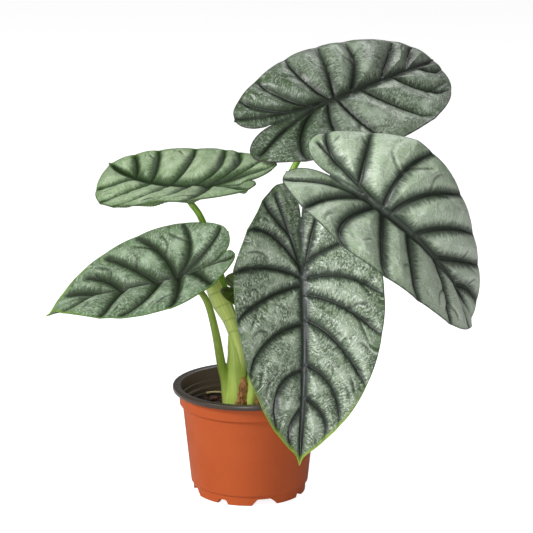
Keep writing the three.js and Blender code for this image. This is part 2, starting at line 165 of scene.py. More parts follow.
def alongLine(line, part):
    # points of a line at equal parts of its length
    lengths = np.concatenate([[0], np.cumsum(np.linalg.norm(np.diff(line, axis=0), axis=1))])
    part = np.asarray(part) * lengths[-1]
    return np.stack([np.interp(part, lengths, line[:, i]) for i in range(line.shape[1])], axis=-1)


def headings(line):
    # the unit direction of a line at each of its points
    steps = np.gradient(line, axis=0)
    return steps / np.linalg.norm(steps, axis=1)[:, None]


def roughen(points, scale, seed):
    # one smooth random number for each point, from -1 to 1
    shift = Vector((seed * 7.3, seed * 3.1, seed * 5.7))
    return np.array([noise.noise(Vector(point) * scale + shift) for point in points])


def claim(piece, slotName, *nodes):
    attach(piece, "root")
    if nodes:
        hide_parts(*nodes)


# material helpers


def srgb(red, green, blue):
    channels = [value / 255 for value in (red, green, blue)]
    straight = [c / 12.92 if c <= 0.04045 else ((c + 0.055) / 1.055) ** 2.4 for c in channels]
    return (*straight, 1)


def newMaterial(name, roughness):
    material = bpy.data.materials.new(name)
    material.use_nodes = True
    shader = material.node_tree.nodes["Principled BSDF"]
    shader.inputs["Roughness"].default_value = roughness
    return material, material.node_tree, shader


def node(tree, kind, inputs=None, **settings):
    made = tree.nodes.new("ShaderNode" + kind)
    for key, value in settings.items():
        setattr(made, key, value)
    for key, value in (inputs or {}).items():
        if isinstance(value, bpy.types.NodeSocket):
            tree.links.new(value, made.inputs[key])
        else:
            made.inputs[key].default_value = value
    return made


def maths(tree, operation, a, b=0.0, c=0.0):
    return node(tree, "Math", {0: a, 1: b, 2: c}, operation=operation).outputs[0]


def times(tree, a, b):
    return maths(tree, "MULTIPLY", a, b)


def mixed(tree, factor, a, b):
    # a colour is a socket, or red, green and blue from 0 to 255
    a, b = [srgb(*colour) if isinstance(colour, tuple) else colour for colour in (a, b)]
    return node(tree, "Mix", {0: factor, 6: a, 7: b}, data_type="RGBA").outputs[2]


def ramp(tree, value, low, high, toLow=0.0, toHigh=1.0):
    inputs = {"Value": value, "From Min": low, "From Max": high, "To Min": toLow, "To Max": toHigh}
    return node(tree, "MapRange", inputs, interpolation_type="SMOOTHSTEP").outputs["Result"]


def objectPlace(tree):
    return node(tree, "TexCoord").outputs["Object"]


def attributeOf(tree, name, output="Fac"):
    return node(tree, "Attribute", attribute_name=name).outputs[output]


def newGroup(name, inputs, outputs):
    group = bpy.data.node_groups.new(name, "ShaderNodeTree")
    for label, kind in inputs:
        group.interface.new_socket(name=label, in_out="INPUT", socket_type="NodeSocket" + kind)
    for label, kind in outputs:
        group.interface.new_socket(name=label, in_out="OUTPUT", socket_type="NodeSocket" + kind)
    return group, group.nodes.new("NodeGroupInput").outputs, group.nodes.new("NodeGroupOutput").inputs


def useGroup(tree, group, inputs):
    return node(tree, "Group", inputs, node_tree=group).outputs[0]


def mottleGroup():
    # soft clouds of tone, from 0 to 1
    group, given, out = newGroup("mottle", [("Vector", "Vector"), ("Scale", "Float")], [("Value", "Float")])
    clouds = node(group, "TexNoise", {"Vector": given["Vector"], "Scale": given["Scale"], "Detail": 4.0})
    group.links.new(ramp(group, clouds.outputs["Fac"], 0.3, 0.7), out["Value"])
    return group


def fibreGroup():
    # streaks, long in the directions with a small stretch and fine in those with a large one
    group, given, out = newGroup("fibres", [("Vector", "Vector"), ("Stretch", "Vector")],
                                 [("Value", "Float")])
    stretched = node(group, "VectorMath", {0: given["Vector"], 1: given["Stretch"]}, operation="MULTIPLY")
    streaks = node(group, "TexNoise", {"Vector": stretched.outputs[0], "Scale": 1.0, "Detail": 3.0,
                                       "Roughness": 0.6})
    group.links.new(streaks.outputs["Fac"], out["Value"])
    return group


def fleckGroup():
    # small dark flecks that come in patches
    group, given, out = newGroup("flecks", [("Vector", "Vector"), ("Fineness", "Float"), ("Patches", "Float"),
                                            ("Amount", "Float")], [("Mask", "Float")])
    dots = node(group, "TexNoise", {"Vector": given["Vector"], "Scale": given["Fineness"], "Detail": 1.0})
    patches = node(group, "TexNoise", {"Vector": given["Vector"], "Scale": given["Patches"], "Detail": 2.0})
    dotMask = ramp(group, dots.outputs["Fac"], 0.6, 0.66)
    patchMask = ramp(group, patches.outputs["Fac"], 0.42, 0.6)
    both = times(group, dotMask, patchMask)
    group.links.new(times(group, both, given["Amount"]), out["Mask"])
    return group


mottle = mottleGroup()
fibres = fibreGroup()
flecks = fleckGroup()


def cloudsOf(tree, place, scale):
    return useGroup(tree, mottle, {"Vector": place, "Scale": scale})


def streaksOf(tree, place, stretch):
    return useGroup(tree, fibres, {"Vector": place, "Stretch": stretch})


def finish(tree, shader, colour, height, depth, strength):
    # gives a shader its colour, and a bump of so many millimetres
    tree.links.new(colour, shader.inputs["Base Color"])
    bump = node(tree, "Bump", {"Height": height, "Distance": depth * mm, "Strength": strength})
    tree.links.new(bump.outputs["Normal"], shader.inputs["Normal"])


def setGloss(shader, specular, coat, coatRoughness):
    shader.inputs["Specular IOR Level"].default_value = specular
    shader.inputs["Coat Weight"].default_value = coat
    shader.inputs["Coat Roughness"].default_value = coatRoughness


cameraLook = {
    "location": (0.0127, -1.6252, 0.5762),
    "downwards": 14,        # degrees below the horizon
    "lens": 154.2,
    "sensor": 36,
}
cameraData = bpy.data.cameras.new("camera")
cameraData.sensor_width = cameraLook["sensor"]
cameraData.lens = cameraLook["lens"]
camera = bpy.data.objects.new("camera", cameraData)
camera.location = cameraLook["location"]
camera.rotation_euler = (math.radians(90 - cameraLook["downwards"]), 0, 0)
scene.collection.objects.link(camera)
scene.camera = camera
print("camera placed")


# One half of a flat blade in parts of its length, from its tip round to the end of its lobe.
bladeForm = {
    "margin": [(1, 0), (0.965, 0.01), (0.93, 0.035), (0.84, 0.125), (0.7, 0.235), (0.52, 0.325),
               (0.32, 0.38), (0.12, 0.4), (-0.08, 0.375), (-0.25, 0.31), (-0.38, 0.235),
               (-0.45, 0.165), (-0.465, 0.11)],
    "sectionReach": 0.4,
    "thickness": 0.9,       # millimetres
    "rows": 280,
    "columns": 64,
    "lobeShare": 0.2,       # of the rows
}
reliefForm = {          # millimetres on a blade of the usual length
    "usualLength": 140,
    "veinDepth": 0.5,
    "creaseDepth": 1.2,
    "ribHeight": 0.7,
    "rimFade": 11,
}
marginLine = catmullRom(bladeForm["margin"], 24)
lobeAlong, lobeAcross = bladeForm["margin"][-1]

youngVeins = {
    "costa": [(-0.22, 0.05), (-0.43, 0.13)],
    "laterals": [(0.05, (0.1, 0.2), (0.2, 0.38)), (0.3, (0.42, 0.17), (0.58, 0.29)),
                 (-0.06, (-0.16, 0.14), (-0.22, 0.31))],
}
# Each leaf's turn (degrees), length (mm), form (radians) and veins. Left and right are the fold, the
# curl, and what the lobe adds to each. A vein is where it leaves the midrib, or the costa where that
# is below 0, a place half way and its end.
leaves = {
    "front": {
        "yaw": -83.5, "pitch": 65.5, "roll": -1, "length": 140, "width": 1.05,
        "arch": 0.22, "hook": 0.27, "lobeArch": -0.47, "sweep": -0.09, "twist": -0.07,
        "left": (0.17, -0.35, -0.02, -0.01), "right": (0.35, 0.13, 0.18, 0.3),
        "tipCurl": 0.23, "sinus": 0.62, "joint": 0, "puff": 7.2, "band": 1.0, "valley": 0.8,
        "leftVeins": {
            "costa": [(-0.2, 0.048), (-0.41, 0.11)],
            "laterals": [(0.03, (0.02, 0.2), (0.11, 0.39)), (0.11, (0.17, 0.18), (0.31, 0.37)),
                         (0.24, (0.36, 0.16), (0.57, 0.3)), (0.47, (0.58, 0.13), (0.77, 0.18)),
                         (0.64, (0.74, 0.1), (0.86, 0.11)), (-0.06, (-0.12, 0.12), (-0.2, 0.31))],
        },
        "rightVeins": {
            "costa": [(-0.2, 0.055), (-0.41, 0.15)],
            "laterals": [(0.02, (-0.02, 0.19), (0.02, 0.39)), (0.06, (0.13, 0.19), (0.26, 0.38)),
                         (0.26, (0.35, 0.19), (0.53, 0.32)), (0.5, (0.59, 0.13), (0.79, 0.15)),
                         (0.7, (0.8, 0.06), (0.9, 0.055)), (-0.04, (-0.19, 0.16), (-0.21, 0.33)),
                         (-0.2, (-0.29, 0.15), (-0.37, 0.235))],
        },
    },
    "right": {
        "yaw": 0, "pitch": 36, "roll": 60.5, "length": 139, "width": 1.07,
        "arch": 0.93, "hook": 0.07, "lobeArch": 1.13, "sweep": -0.19, "twist": -0.45,
        "left": (0.54, -0.92, -0.42, -0.77), "right": (0.59, -0.13, -0.05, 0.55),
        "tipCurl": -1.09, "sinus": 0.6, "joint": 0, "puff": 6.6, "band": 1.35, "valley": 0.7,
        "leftVeins": {
            "costa": [(-0.2, 0.045), (-0.42, 0.12)],
            "laterals": [(0.04, (0.02, 0.2), (0.1, 0.4)), (0.09, (0.17, 0.18), (0.37, 0.37)),
                         (0.26, (0.37, 0.14), (0.58, 0.29)), (0.44, (0.56, 0.09), (0.74, 0.21)),
                         (0.66, (0.76, 0.06), (0.88, 0.08)), (-0.13, (-0.18, 0.17), (-0.22, 0.31)),
                         (-0.27, (-0.34, 0.1), (-0.42, 0.19))],
        },
        "rightVeins": {
            "costa": [(-0.26, 0.04), (-0.445, 0.17)],
            "laterals": [(0.05, (0.1, 0.21), (0.16, 0.385)), (0.22, (0.28, 0.2), (0.36, 0.38)),
                         (0.42, (0.51, 0.12), (0.6, 0.28)), (0.62, (0.72, 0.08), (0.83, 0.13)),
                         (0, (-0.1, 0.22), (-0.05, 0.385)), (-0.09, (-0.23, 0.15), (-0.27, 0.3))],
        },
    },
    "top": {
        "yaw": 31, "pitch": -14, "roll": 61.5, "length": 153, "width": 0.875,
        "arch": 0.8, "hook": 0.14, "lobeArch": 1.05, "sweep": 0.15, "twist": -0.11,
        "left": (-0.02, -1.09, -0.02, -0.14), "right": (0.27, 0.29, 0.1, 0.33),
        "tipCurl": -0.39, "sinus": 0.68, "joint": 0, "puff": 7.2, "band": 1.0, "valley": 0.8,
        "leftVeins": {
            "costa": [(-0.24, 0.035), (-0.45, 0.11)],
            "laterals": [(0.02, (-0.05, 0.15), (-0.06, 0.37)), (0.04, (0.09, 0.17), (0.18, 0.38)),
                         (0.14, (0.26, 0.15), (0.38, 0.345)), (0.36, (0.5, 0.11), (0.7, 0.2)),
                         (0.58, (0.68, 0.07), (0.82, 0.12)), (-0.06, (-0.17, 0.08), (-0.27, 0.27)),
                         (-0.2, (-0.3, 0.09), (-0.4, 0.2))],
        },
        "rightVeins": {
            "costa": [(-0.22, 0.035), (-0.43, 0.14)],
            "laterals": [(0.05, (0.08, 0.2), (0.12, 0.38)), (0.2, (0.3, 0.18), (0.4, 0.355)),
                         (0.43, (0.54, 0.16), (0.68, 0.24)), (0.66, (0.76, 0.07), (0.87, 0.09)),
                         (0, (-0.06, 0.17), (-0.05, 0.36)), (-0.08, (-0.21, 0.12), (-0.26, 0.29))],
        },
    },
    "leftLow": {
        "yaw": 167.5, "pitch": 21, "roll": -4, "length": 108, "width": 1.03,
        "arch": -0.62, "hook": 0.93, "lobeArch": -0.69, "sweep": -0.16, "twist": 0.13,
        "left": (0.1, -0.74, -0.35, 0.37), "right": (0.67, 0.16, 0.09, 0.01),
        "tipCurl": -0.26, "sinus": 0.82, "joint": 0, "puff": 5.8, "band": 1.15, "valley": 0.6,
        "leftVeins": {
            "costa": [(-0.24, 0.03), (-0.45, 0.12)],
            "laterals": [(0.12, (0.14, 0.2), (0.3, 0.36)), (0.36, (0.4, 0.2), (0.45, 0.34)),
                         (0.6, (0.66, 0.1), (0.75, 0.17)), (-0.02, (-0.06, 0.2), (-0.02, 0.38)),
                         (-0.12, (-0.2, 0.12), (-0.29, 0.29))],
        },
        "rightVeins": {
            "costa": [(-0.2, 0.075), (-0.41, 0.17)],
            "laterals": [(0, (0.1, 0.21), (0.28, 0.37)), (0.14, (0.3, 0.14), (0.52, 0.28)),
                         (0.4, (0.51, 0.1), (0.66, 0.17)), (0.56, (0.68, 0.05), (0.82, 0.09)),
                         (-0.02, (-0.13, 0.17), (-0.12, 0.35))],
        },
    },
    "leftHigh": {
        "yaw": 141, "pitch": 10, "roll": -13, "length": 128, "width": 0.975,
        "arch": -0.25, "hook": 0.17, "lobeArch": -0.14, "sweep": -0.57, "twist": -0.25,
        "left": (0.14, -0.02, -0.37, 0.31), "right": (0.31, -0.38, 0.07, -0.31),
        "tipCurl": -0.71, "sinus": 0.74, "joint": 0.17, "puff": 6.4, "band": 1.15, "valley": 0.7,
        "leftVeins": {
            "costa": [(-0.22, 0.05), (-0.43, 0.13)],
            "laterals": [(0.1, (0.05, 0.2), (0.12, 0.385)), (0.25, (0.25, 0.2), (0.33, 0.37)),
                         (0.4, (0.45, 0.18), (0.52, 0.32)), (0.58, (0.66, 0.12), (0.73, 0.21)),
                         (-0.05, (-0.13, 0.15), (-0.15, 0.35))],
        },
        "rightVeins": {
            "costa": [(-0.2, 0.06), (-0.42, 0.15)],
            "laterals": [(0.12, (0, 0.14), (0.13, 0.385)), (0.27, (0.27, 0.16), (0.4, 0.35)),
                         (0.45, (0.53, 0.12), (0.68, 0.24)), (0.62, (0.7, 0.07), (0.82, 0.13)),
                         (0, (-0.12, 0.16), (0, 0.39)), (-0.1, (-0.24, 0.15), (-0.25, 0.3))],
        },
    },
    "young": {
        "yaw": -5, "pitch": 20, "roll": 65, "length": 32, "width": 1.35,
        "arch": 0.3, "hook": 0.2, "lobeArch": 0.2, "sweep": 0, "twist": 0,
        "left": (0.5, 0.3, 0, 0), "right": (0.5, 0.3, 0, 0),
        "tipCurl": 0, "sinus": 0.62, "joint": 0, "puff": 0.7, "band": 0.35, "valley": 0.4,
        "leftVeins": youngVeins, "rightVeins": youngVeins,
    },
}
nodeNames = {"leftLow": "left_low", "leftHigh": "left_high"}


def turnOf(leaf):
    # rolled about its length, then pitched, then turned about the upright
    angles = [math.radians(leaf[key]) for key in ("roll", "pitch", "yaw")]
    return np.array(Euler(angles, "XYZ").to_matrix())


def bladePoints(leaf, along, across):
    # the blade's middle surface in millimetres, turned as it grows; across is positive on its left
    steps = np.linspace(lobeAlong - 0.02, 1.02, 401)
    ahead = np.maximum(steps, 0)
    heading = np.where(steps < 0, leaf["lobeArch"] * steps, leaf["arch"] * steps + leaf["hook"] * steps ** 2)
    sweep = leaf["sweep"] * ahead
    direction = np.stack([np.cos(heading) * np.cos(sweep), np.cos(heading) * np.sin(sweep),
                          -np.sin(heading)], axis=1)
    place = np.vstack([np.zeros(3), np.cumsum((direction[1:] + direction[:-1]) / 2, axis=0)])
    place *= steps[1] - steps[0]
    place -= [np.interp(0, steps, place[:, i]) for i in range(3)]
    side = np.stack([-direction[:, 1], direction[:, 0], np.zeros(len(steps))], axis=1)
    side /= np.linalg.norm(side, axis=1)[:, None]
    up = np.cross(direction, side)
    twist = (leaf["twist"] * steps)[:, None]
    side, up = side * np.cos(twist) + up * np.sin(twist), up * np.cos(twist) - side * np.sin(twist)

    def at(values):
        return np.stack([np.interp(along, steps, values[:, i]) for i in range(3)], axis=-1)

    lobe = np.clip(-along / 0.46, 0, 1)
    isLeft = across >= 0
    fold, curl, lobeFold, lobeCurl = [np.where(isLeft, l, r) for l, r in zip(leaf["left"], leaf["right"])]
    fold = fold + lobeFold * lobe
    curl = curl + lobeCurl * lobe + leaf["tipCurl"] * np.clip(along, 0, 1) ** 2
    rate = curl / bladeForm["sectionReach"]
    rate = np.where(np.abs(rate) < 1e-3, 1e-3, rate)
    end = fold + rate * np.abs(across) * leaf["width"]
    out = (np.sin(end) - np.sin(fold)) / rate
    rise = (np.cos(fold) - np.cos(end)) / rate
    flat = at(place) + at(side) * (np.sign(across) * out)[:, None] + at(up) * rise[:, None]
    return flat * leaf["length"] @ turnOf(leaf).T + leaf.get("shift", 0)


def outerAcross(along):
    return np.maximum(np.interp(-along, -marginLine[:, 0], marginLine[:, 1]), 0)


def innerAcross(leaf, along):
    sinusAt = leaf["sinus"] * lobeAlong
    part = np.clip((sinusAt - along) / (sinusAt - lobeAlong), 0, 1)
    return lobeAcross * (0.9 * (1 - np.sqrt(1 - part ** 2.2)) + 0.1 * part)


def throughMiddle(start, middle, end, count=18):
    # a bow from start to end through the middle place
    start, middle, end = [np.array(point, float) for point in (start, middle, end)]
    pull = 2 * middle - (start + end) / 2
    t = np.linspace(0, 1, count)[:, None]
    return start * (1 - t) ** 2 + 2 * pull * t * (1 - t) + end * t ** 2


def veinsOf(leaf):
    # every vein as a line on the flat blade, with its dark band's half width from start to end
    band = leaf["band"]
    veins = [{"line": np.array([(a, 0) for a in np.linspace(0, 0.97, 24)]), "half": (3.6 * band, 0.8),
              "spread": (1.15, 0.6), "fine": False}]
    for hand, key in ((1, "leftVeins"), (-1, "rightVeins")):
        costa = throughMiddle((0, 0), *leaf[key]["costa"])
        own = [{"line": costa, "half": (2.9 * band, 1.2), "spread": (1, 0.6), "fine": False}]
        laterals = []
        for start, middle, end in sorted(leaf[key]["laterals"], key=lambda vein: vein[2][0]):
            across = 0 if start >= 0 else np.interp(-start, -costa[:, 0], costa[:, 1])
            laterals.append(throughMiddle((start, across), middle, end))
            own.append({"line": laterals[-1], "half": (2.9 * band, 1.3 * band), "spread": (1, 0.75),
                        "fine": False})
        chance = random.Random(len(veins) * 31 + int(leaf["length"]))
        for low, high in zip(laterals, laterals[1:]):
            # looped side veins in the outer part of each panel
            for source, other, root, share in ((high, low, 0.5, 0.46), (low, high, 0.62, 0.3),
                                               (high, low, 0.76, 0.22)):
                root = root + chance.uniform(-0.05, 0.05)
                share = share + chance.uniform(-0.05, 0.05)
                start = alongLine(source, root)
                middle = alongLine(source, root + 0.22) * (1 - share) + alongLine(other, root + 0.22) * share
                end = alongLine(source, 1) * (1 - share) + alongLine(other, 1) * share
                own.append({"line": throughMiddle(start, middle, end, 10), "half": (1.1, 0.7),
                            "spread": (1, 1), "fine": True})
        for vein in own:
            vein["line"] = vein["line"] * (1, hand)
        veins += own
    return veins


def veinField(leaf, veins, flat):
    # for each place: how near it is to the main and fine veins, and where it lies along the nearest
    scale = np.array([leaf["length"], leaf["length"] * leaf["width"]])
    places = flat[:, :2] * scale
    count = len(places)
    near, spread, fine = np.full(count, 9.0), np.full(count, 9.0), np.full(count, 9.0)
    flow, flowRank = np.zeros((count, 3)), np.full(count, 99.0)
    for number, vein in enumerate(veins):
        line = vein["line"] * scale
        travelled = np.concatenate([[0], np.cumsum(np.linalg.norm(np.diff(line, axis=0), axis=1))])
        away, along = np.full(count, 1e3), np.zeros(count)
        for a, b, before in zip(line, line[1:], travelled):
            step = b - a
            part = np.clip(((places - a) @ step) / max(step @ step, 1e-9), 0, 1)
            distance = np.linalg.norm(places - a - part[:, None] * step, axis=1)
            closer = distance < away
            away = np.where(closer, distance, away)
            along = np.where(closer, before + part * np.linalg.norm(step), along)
        share = along / travelled[-1]
        half = vein["half"][0] + (vein["half"][1] - vein["half"][0]) * share ** 0.8
        if vein["fine"]:
            fine = np.minimum(fine, away / half)
            continue
        near = np.minimum(near, away / half)
        reach = 5.6 * (vein["spread"][0] + (vein["spread"][1] - vein["spread"][0]) * share)
        spread = np.minimum(spread, away / reach)
        closer = away < flowRank
        flowRank = np.where(closer, away, flowRank)
        flow = np.where(closer[:, None], np.stack([along, away, np.full(count, number * 13.7)], axis=1), flow)
    return near, spread, fine, flow


def rimAway(leaf, flat):
    # millimetres from each place to the blade's edge
    turning = lobeAlong * 0.8      # past this the edge bends sharply
    along = np.concatenate([np.linspace(1, turning, 160), np.linspace(turning, lobeAlong, 60)])
    scale = np.array([leaf["length"], leaf["length"] * leaf["width"]])
    outer = np.stack([along, outerAcross(along)], axis=1)
    inside = along[along <= leaf["sinus"] * lobeAlong]
    inner = np.stack([inside, innerAcross(leaf, inside)], axis=1)
    edge = np.vstack([outer, inner]) * scale
    places = np.stack([flat[:, 0], np.abs(flat[:, 1])], axis=1) * scale
    away = np.full(len(places), 1e3)
    for point in edge:
        away = np.minimum(away, np.linalg.norm(places - point, axis=1))
    return away


def bladeHalf(leaf, name, hand):
    small = leaf["length"] < 50
    rows = bladeForm["rows"] // (3 if small else 1)
    columns = bladeForm["columns"] // (3 if small else 1)
    piece, u, v = grid(name, rows, columns)
    sinusAt = leaf["sinus"] * lobeAlong
    lobeShare = bladeForm["lobeShare"]
    body = np.clip((u - lobeShare) / (1 - lobeShare), 0, 1)
    body = 0.5 * body + 0.25 * (1 - np.cos(np.pi * body))
    lobe = np.sin(np.pi / 2 * np.clip((lobeShare - u) / lobeShare, 0, 1))
    along = np.where(u < lobeShare, sinusAt + (lobeAlong - sinusAt) * lobe, sinusAt + (1 - sinusAt) * body)
    inner = np.minimum(innerAcross(leaf, along), outerAcross(along))
    outer = outerAcross(along)
    across = inner + (outer - inner) * v if hand > 0 else -(outer + (inner - outer) * v)
    flat = np.stack([along, across, np.zeros(len(along))], axis=1)
    setAttribute(piece, "flat", flat)
    moveVertices(piece, bladePoints(leaf, along, across + hand * 1e-9) * mm)
    return piece


def bladePiece(key, leaf, faceMaterial, backMaterial):
    name = nodeNames.get(key, key)
    low, high = [np.array(corner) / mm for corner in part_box("blade_" + name)]
    piece = joined([bladeHalf(leaf, "leftHalf", 1), bladeHalf(leaf, "rightHalf", -1)], name + "_leaf")
    mergeDoubles(piece, 0.01 * mm)
    points = coordinates(piece)
    leaf["shift"] = (low + high) / 2 - (points.min(0) + points.max(0)) / 2 / mm
    flat = vectorsOf(piece.data.attributes["flat"].data, "vector")
    normals = vectorsOf(piece.data.vertex_normals, "vector")
    near, spread, fine, flow = veinField(leaf, veinsOf(leaf), flat)
    rim = rimAway(leaf, flat)
    size = leaf["length"] / reliefForm["usualLength"]
    # coarse, middling and fine unevenness
    rough = roughen(points, 80, 1) * 0.9 + roughen(points, 210, 3) * 0.4 + roughen(points, 480, 2) * 0.12
    # each panel rises quickly from its veins, then more slowly to its middle
    panel = 0.62 * (1 - np.exp(-1.25 * spread ** 1.1)) + 0.38 * (1 - np.exp(-(0.5 * spread) ** 2))
    relief = leaf["puff"] * (panel - 0.6) + rough * size * panel
    patches = smoothStep(-0.25, 0.25, roughen(points, 60, 9)) * smoothStep(2, 9, rim)
    creases = np.exp(-(fine * 0.6) ** 2) * patches
    relief -= reliefForm["veinDepth"] * size * np.exp(-(near * 3) ** 2)
    relief -= reliefForm["creaseDepth"] * size * creases * panel
    ribHalf = np.interp(flat[:, 0], (-0.05, 0, 0.5, 0.95), (0, 1.7, 1.2, 0.4)) * size
    midrib = np.exp(-((flat[:, 1] * leaf["length"] - 0.7 * size) / np.maximum(ribHalf, 0.05)) ** 4)
    relief += reliefForm["ribHeight"] * size * midrib
    costa = [throughMiddle((0, 0), *leaf[side]["costa"]) for side in ("leftVeins", "rightVeins")]
    reach = [np.interp(-flat[:, 0], -line[:, 0], line[:, 1], left=0) for line in costa]
    pleat = np.where(flat[:, 1] >= 0, reach[0], reach[1]) * 0.85 - np.abs(flat[:, 1])
    relief -= leaf["valley"] * np.clip(pleat, 0, 0.05) * leaf["length"] * (flat[:, 0] < 0)
    relief *= 0.15 + 0.85 * smoothStep(-1, reliefForm["rimFade"] * max(size, 0.3), rim)
    moveVertices(piece, points + normals * relief[:, None] * mm + leaf["shift"] * mm)
    # the pleat between the lobes is painted darker, most along its middle slit: painted shade in the fold
    slot = np.exp(-(flat[:, 1] * leaf["length"] / 1.5) ** 2)
    pleatShade = (0.3 + 0.65 * slot) * smoothStep(0, 0.03, pleat) * (flat[:, 0] < -0.01)
    patterns = {"veinNear": near, "creases": creases, "midrib": midrib, "flow": flow, "rim": rim,
                "pleat": pleatShade}
    for label, values in patterns.items():
        setAttribute(piece, label, values)
    # Solidify gives the back the next material, so both are there first
    piece.data.materials.append(faceMaterial)
    piece.data.materials.append(backMaterial)
    applyModifier(piece, "SOLIDIFY", thickness=bladeForm["thickness"] * mm * (0.6 if size < 0.5 else 1),
                  offset=-1, use_rim=True, material_offset=1)
    smooth(piece)
    claim(piece, "young_leaf" if key == "young" else "leaf", "blade_" + name)
    return piece


# The colours of each blade's panels, dark vein bands and edge, and how strongly each mark shows.
sharedLook = {
    "net": 0.2, "lobeGreen": 0.0, "flecks": 0.2, "ribAndLitShow": 0.0, "core": 0.8, "shade": 0.9, "strokes": 0.5,
    "loops": 0.7, "roughness": 0.38, "gloss": 0.0, "tipPale": 0.0, "tipGlow": 1.0,
}
# Each blade's bank tone is the veins' own dark band, and partly painted shade on the sunken sides of the
# veins.
leafLooks = {
    "front": {
        "silver": (178, 194, 170), "green": (92, 118, 76), "pale": (226, 234, 222), "deep": (56, 76, 50),
        "bandAndShadeTone": (48, 60, 48), "band": (30, 38, 28), "rim": (62, 92, 44), "tip": (140, 172, 48),
        "ribAndLitTone": (90, 97, 95), "ribAndLitShow": 0.7, "net": 0.25, "lobeGreen": 0.1, "flecks": 0.8,
        "mottle": 0.75, "feather": 0.9, "core": 0.62, "bandAndShade": 2.3, "strokes": 0.8, "gloss": 0.5,
    },
    "right": {
        "silver": (192, 209, 182), "green": (142, 168, 128), "pale": (216, 226, 212),
        "deep": (104, 124, 96), "bandAndShadeTone": (66, 78, 64), "band": (42, 52, 40), "rim": (50, 60, 46),
        "tip": (100, 130, 60), "ribAndLitTone": (74, 85, 75), "ribAndLitShow": 0.5, "net": 0.45, "mottle": 0.6,
        "feather": 0.6, "bandAndShade": 2.5, "shade": 0.92, "strokes": 0.35, "loops": 0.65, "roughness": 0.42,
        "gloss": 0.3, "tipPale": 0.55, "tipGlow": 0.4,
    },
    "top": {
        "silver": (166, 181, 158), "green": (70, 92, 58), "pale": (192, 203, 192), "deep": (52, 70, 45),
        "bandAndShadeTone": (42, 56, 36), "band": (30, 39, 26), "rim": (56, 52, 42), "tip": (90, 112, 60),
        "ribAndLitTone": (66, 77, 64), "ribAndLitShow": 0.4, "lobeGreen": 1.0, "flecks": 0.6, "mottle": 0.6,
        "feather": 1.0, "core": 0.75, "bandAndShade": 2.7, "loops": 0.6, "gloss": 0.35, "tipGlow": 0.0,
    },
    "leftLow": {
        "silver": (160, 180, 150), "green": (74, 104, 58), "pale": (196, 208, 196), "deep": (54, 76, 46),
        "bandAndShadeTone": (42, 58, 32), "band": (34, 44, 28), "rim": (84, 116, 54), "tip": (120, 156, 60),
        "ribAndLitTone": (58, 72, 52), "flecks": 0.6, "mottle": 0.9, "feather": 0.65, "bandAndShade": 2.9,
        "roughness": 0.46, "gloss": 0.05, "tipGlow": 0.8,
    },
    "leftHigh": {
        "silver": (178, 198, 162), "green": (106, 138, 86), "pale": (206, 222, 192), "deep": (64, 94, 48),
        "bandAndShadeTone": (36, 64, 22), "band": (28, 46, 18), "rim": (64, 82, 46), "tip": (120, 150, 70),
        "ribAndLitTone": (62, 88, 50), "lobeGreen": 0.2, "mottle": 0.8, "feather": 0.55, "core": 0.9, "bandAndShade": 3.1,
        "shade": 0.92, "strokes": 0.4, "loops": 0.8, "roughness": 0.48, "tipGlow": 0.3,
    },
    "young": {
        "silver": (98, 118, 48), "green": (74, 94, 38), "pale": (124, 142, 58), "deep": (62, 80, 32),
        "bandAndShadeTone": (58, 74, 30), "band": (46, 60, 26), "rim": (96, 112, 40), "tip": (186, 184, 44),
        "ribAndLitTone": (90, 106, 44), "ribAndLitShow": 0.3, "net": 0.1, "flecks": 0.0, "mottle": 0.8, "feather": 0.4,
        "core": 0.6, "bandAndShade": 1.6, "shade": 0.4, "strokes": 0.2, "loops": 0.4, "roughness": 0.35,
        "gloss": 0.2,
    },
}


def frayed(tree, value, brush, amount):
    # a value moved up and down by a brush's streaks
    return maths(tree, "MULTIPLY_ADD", maths(tree, "SUBTRACT", brush, 0.5), amount, value)


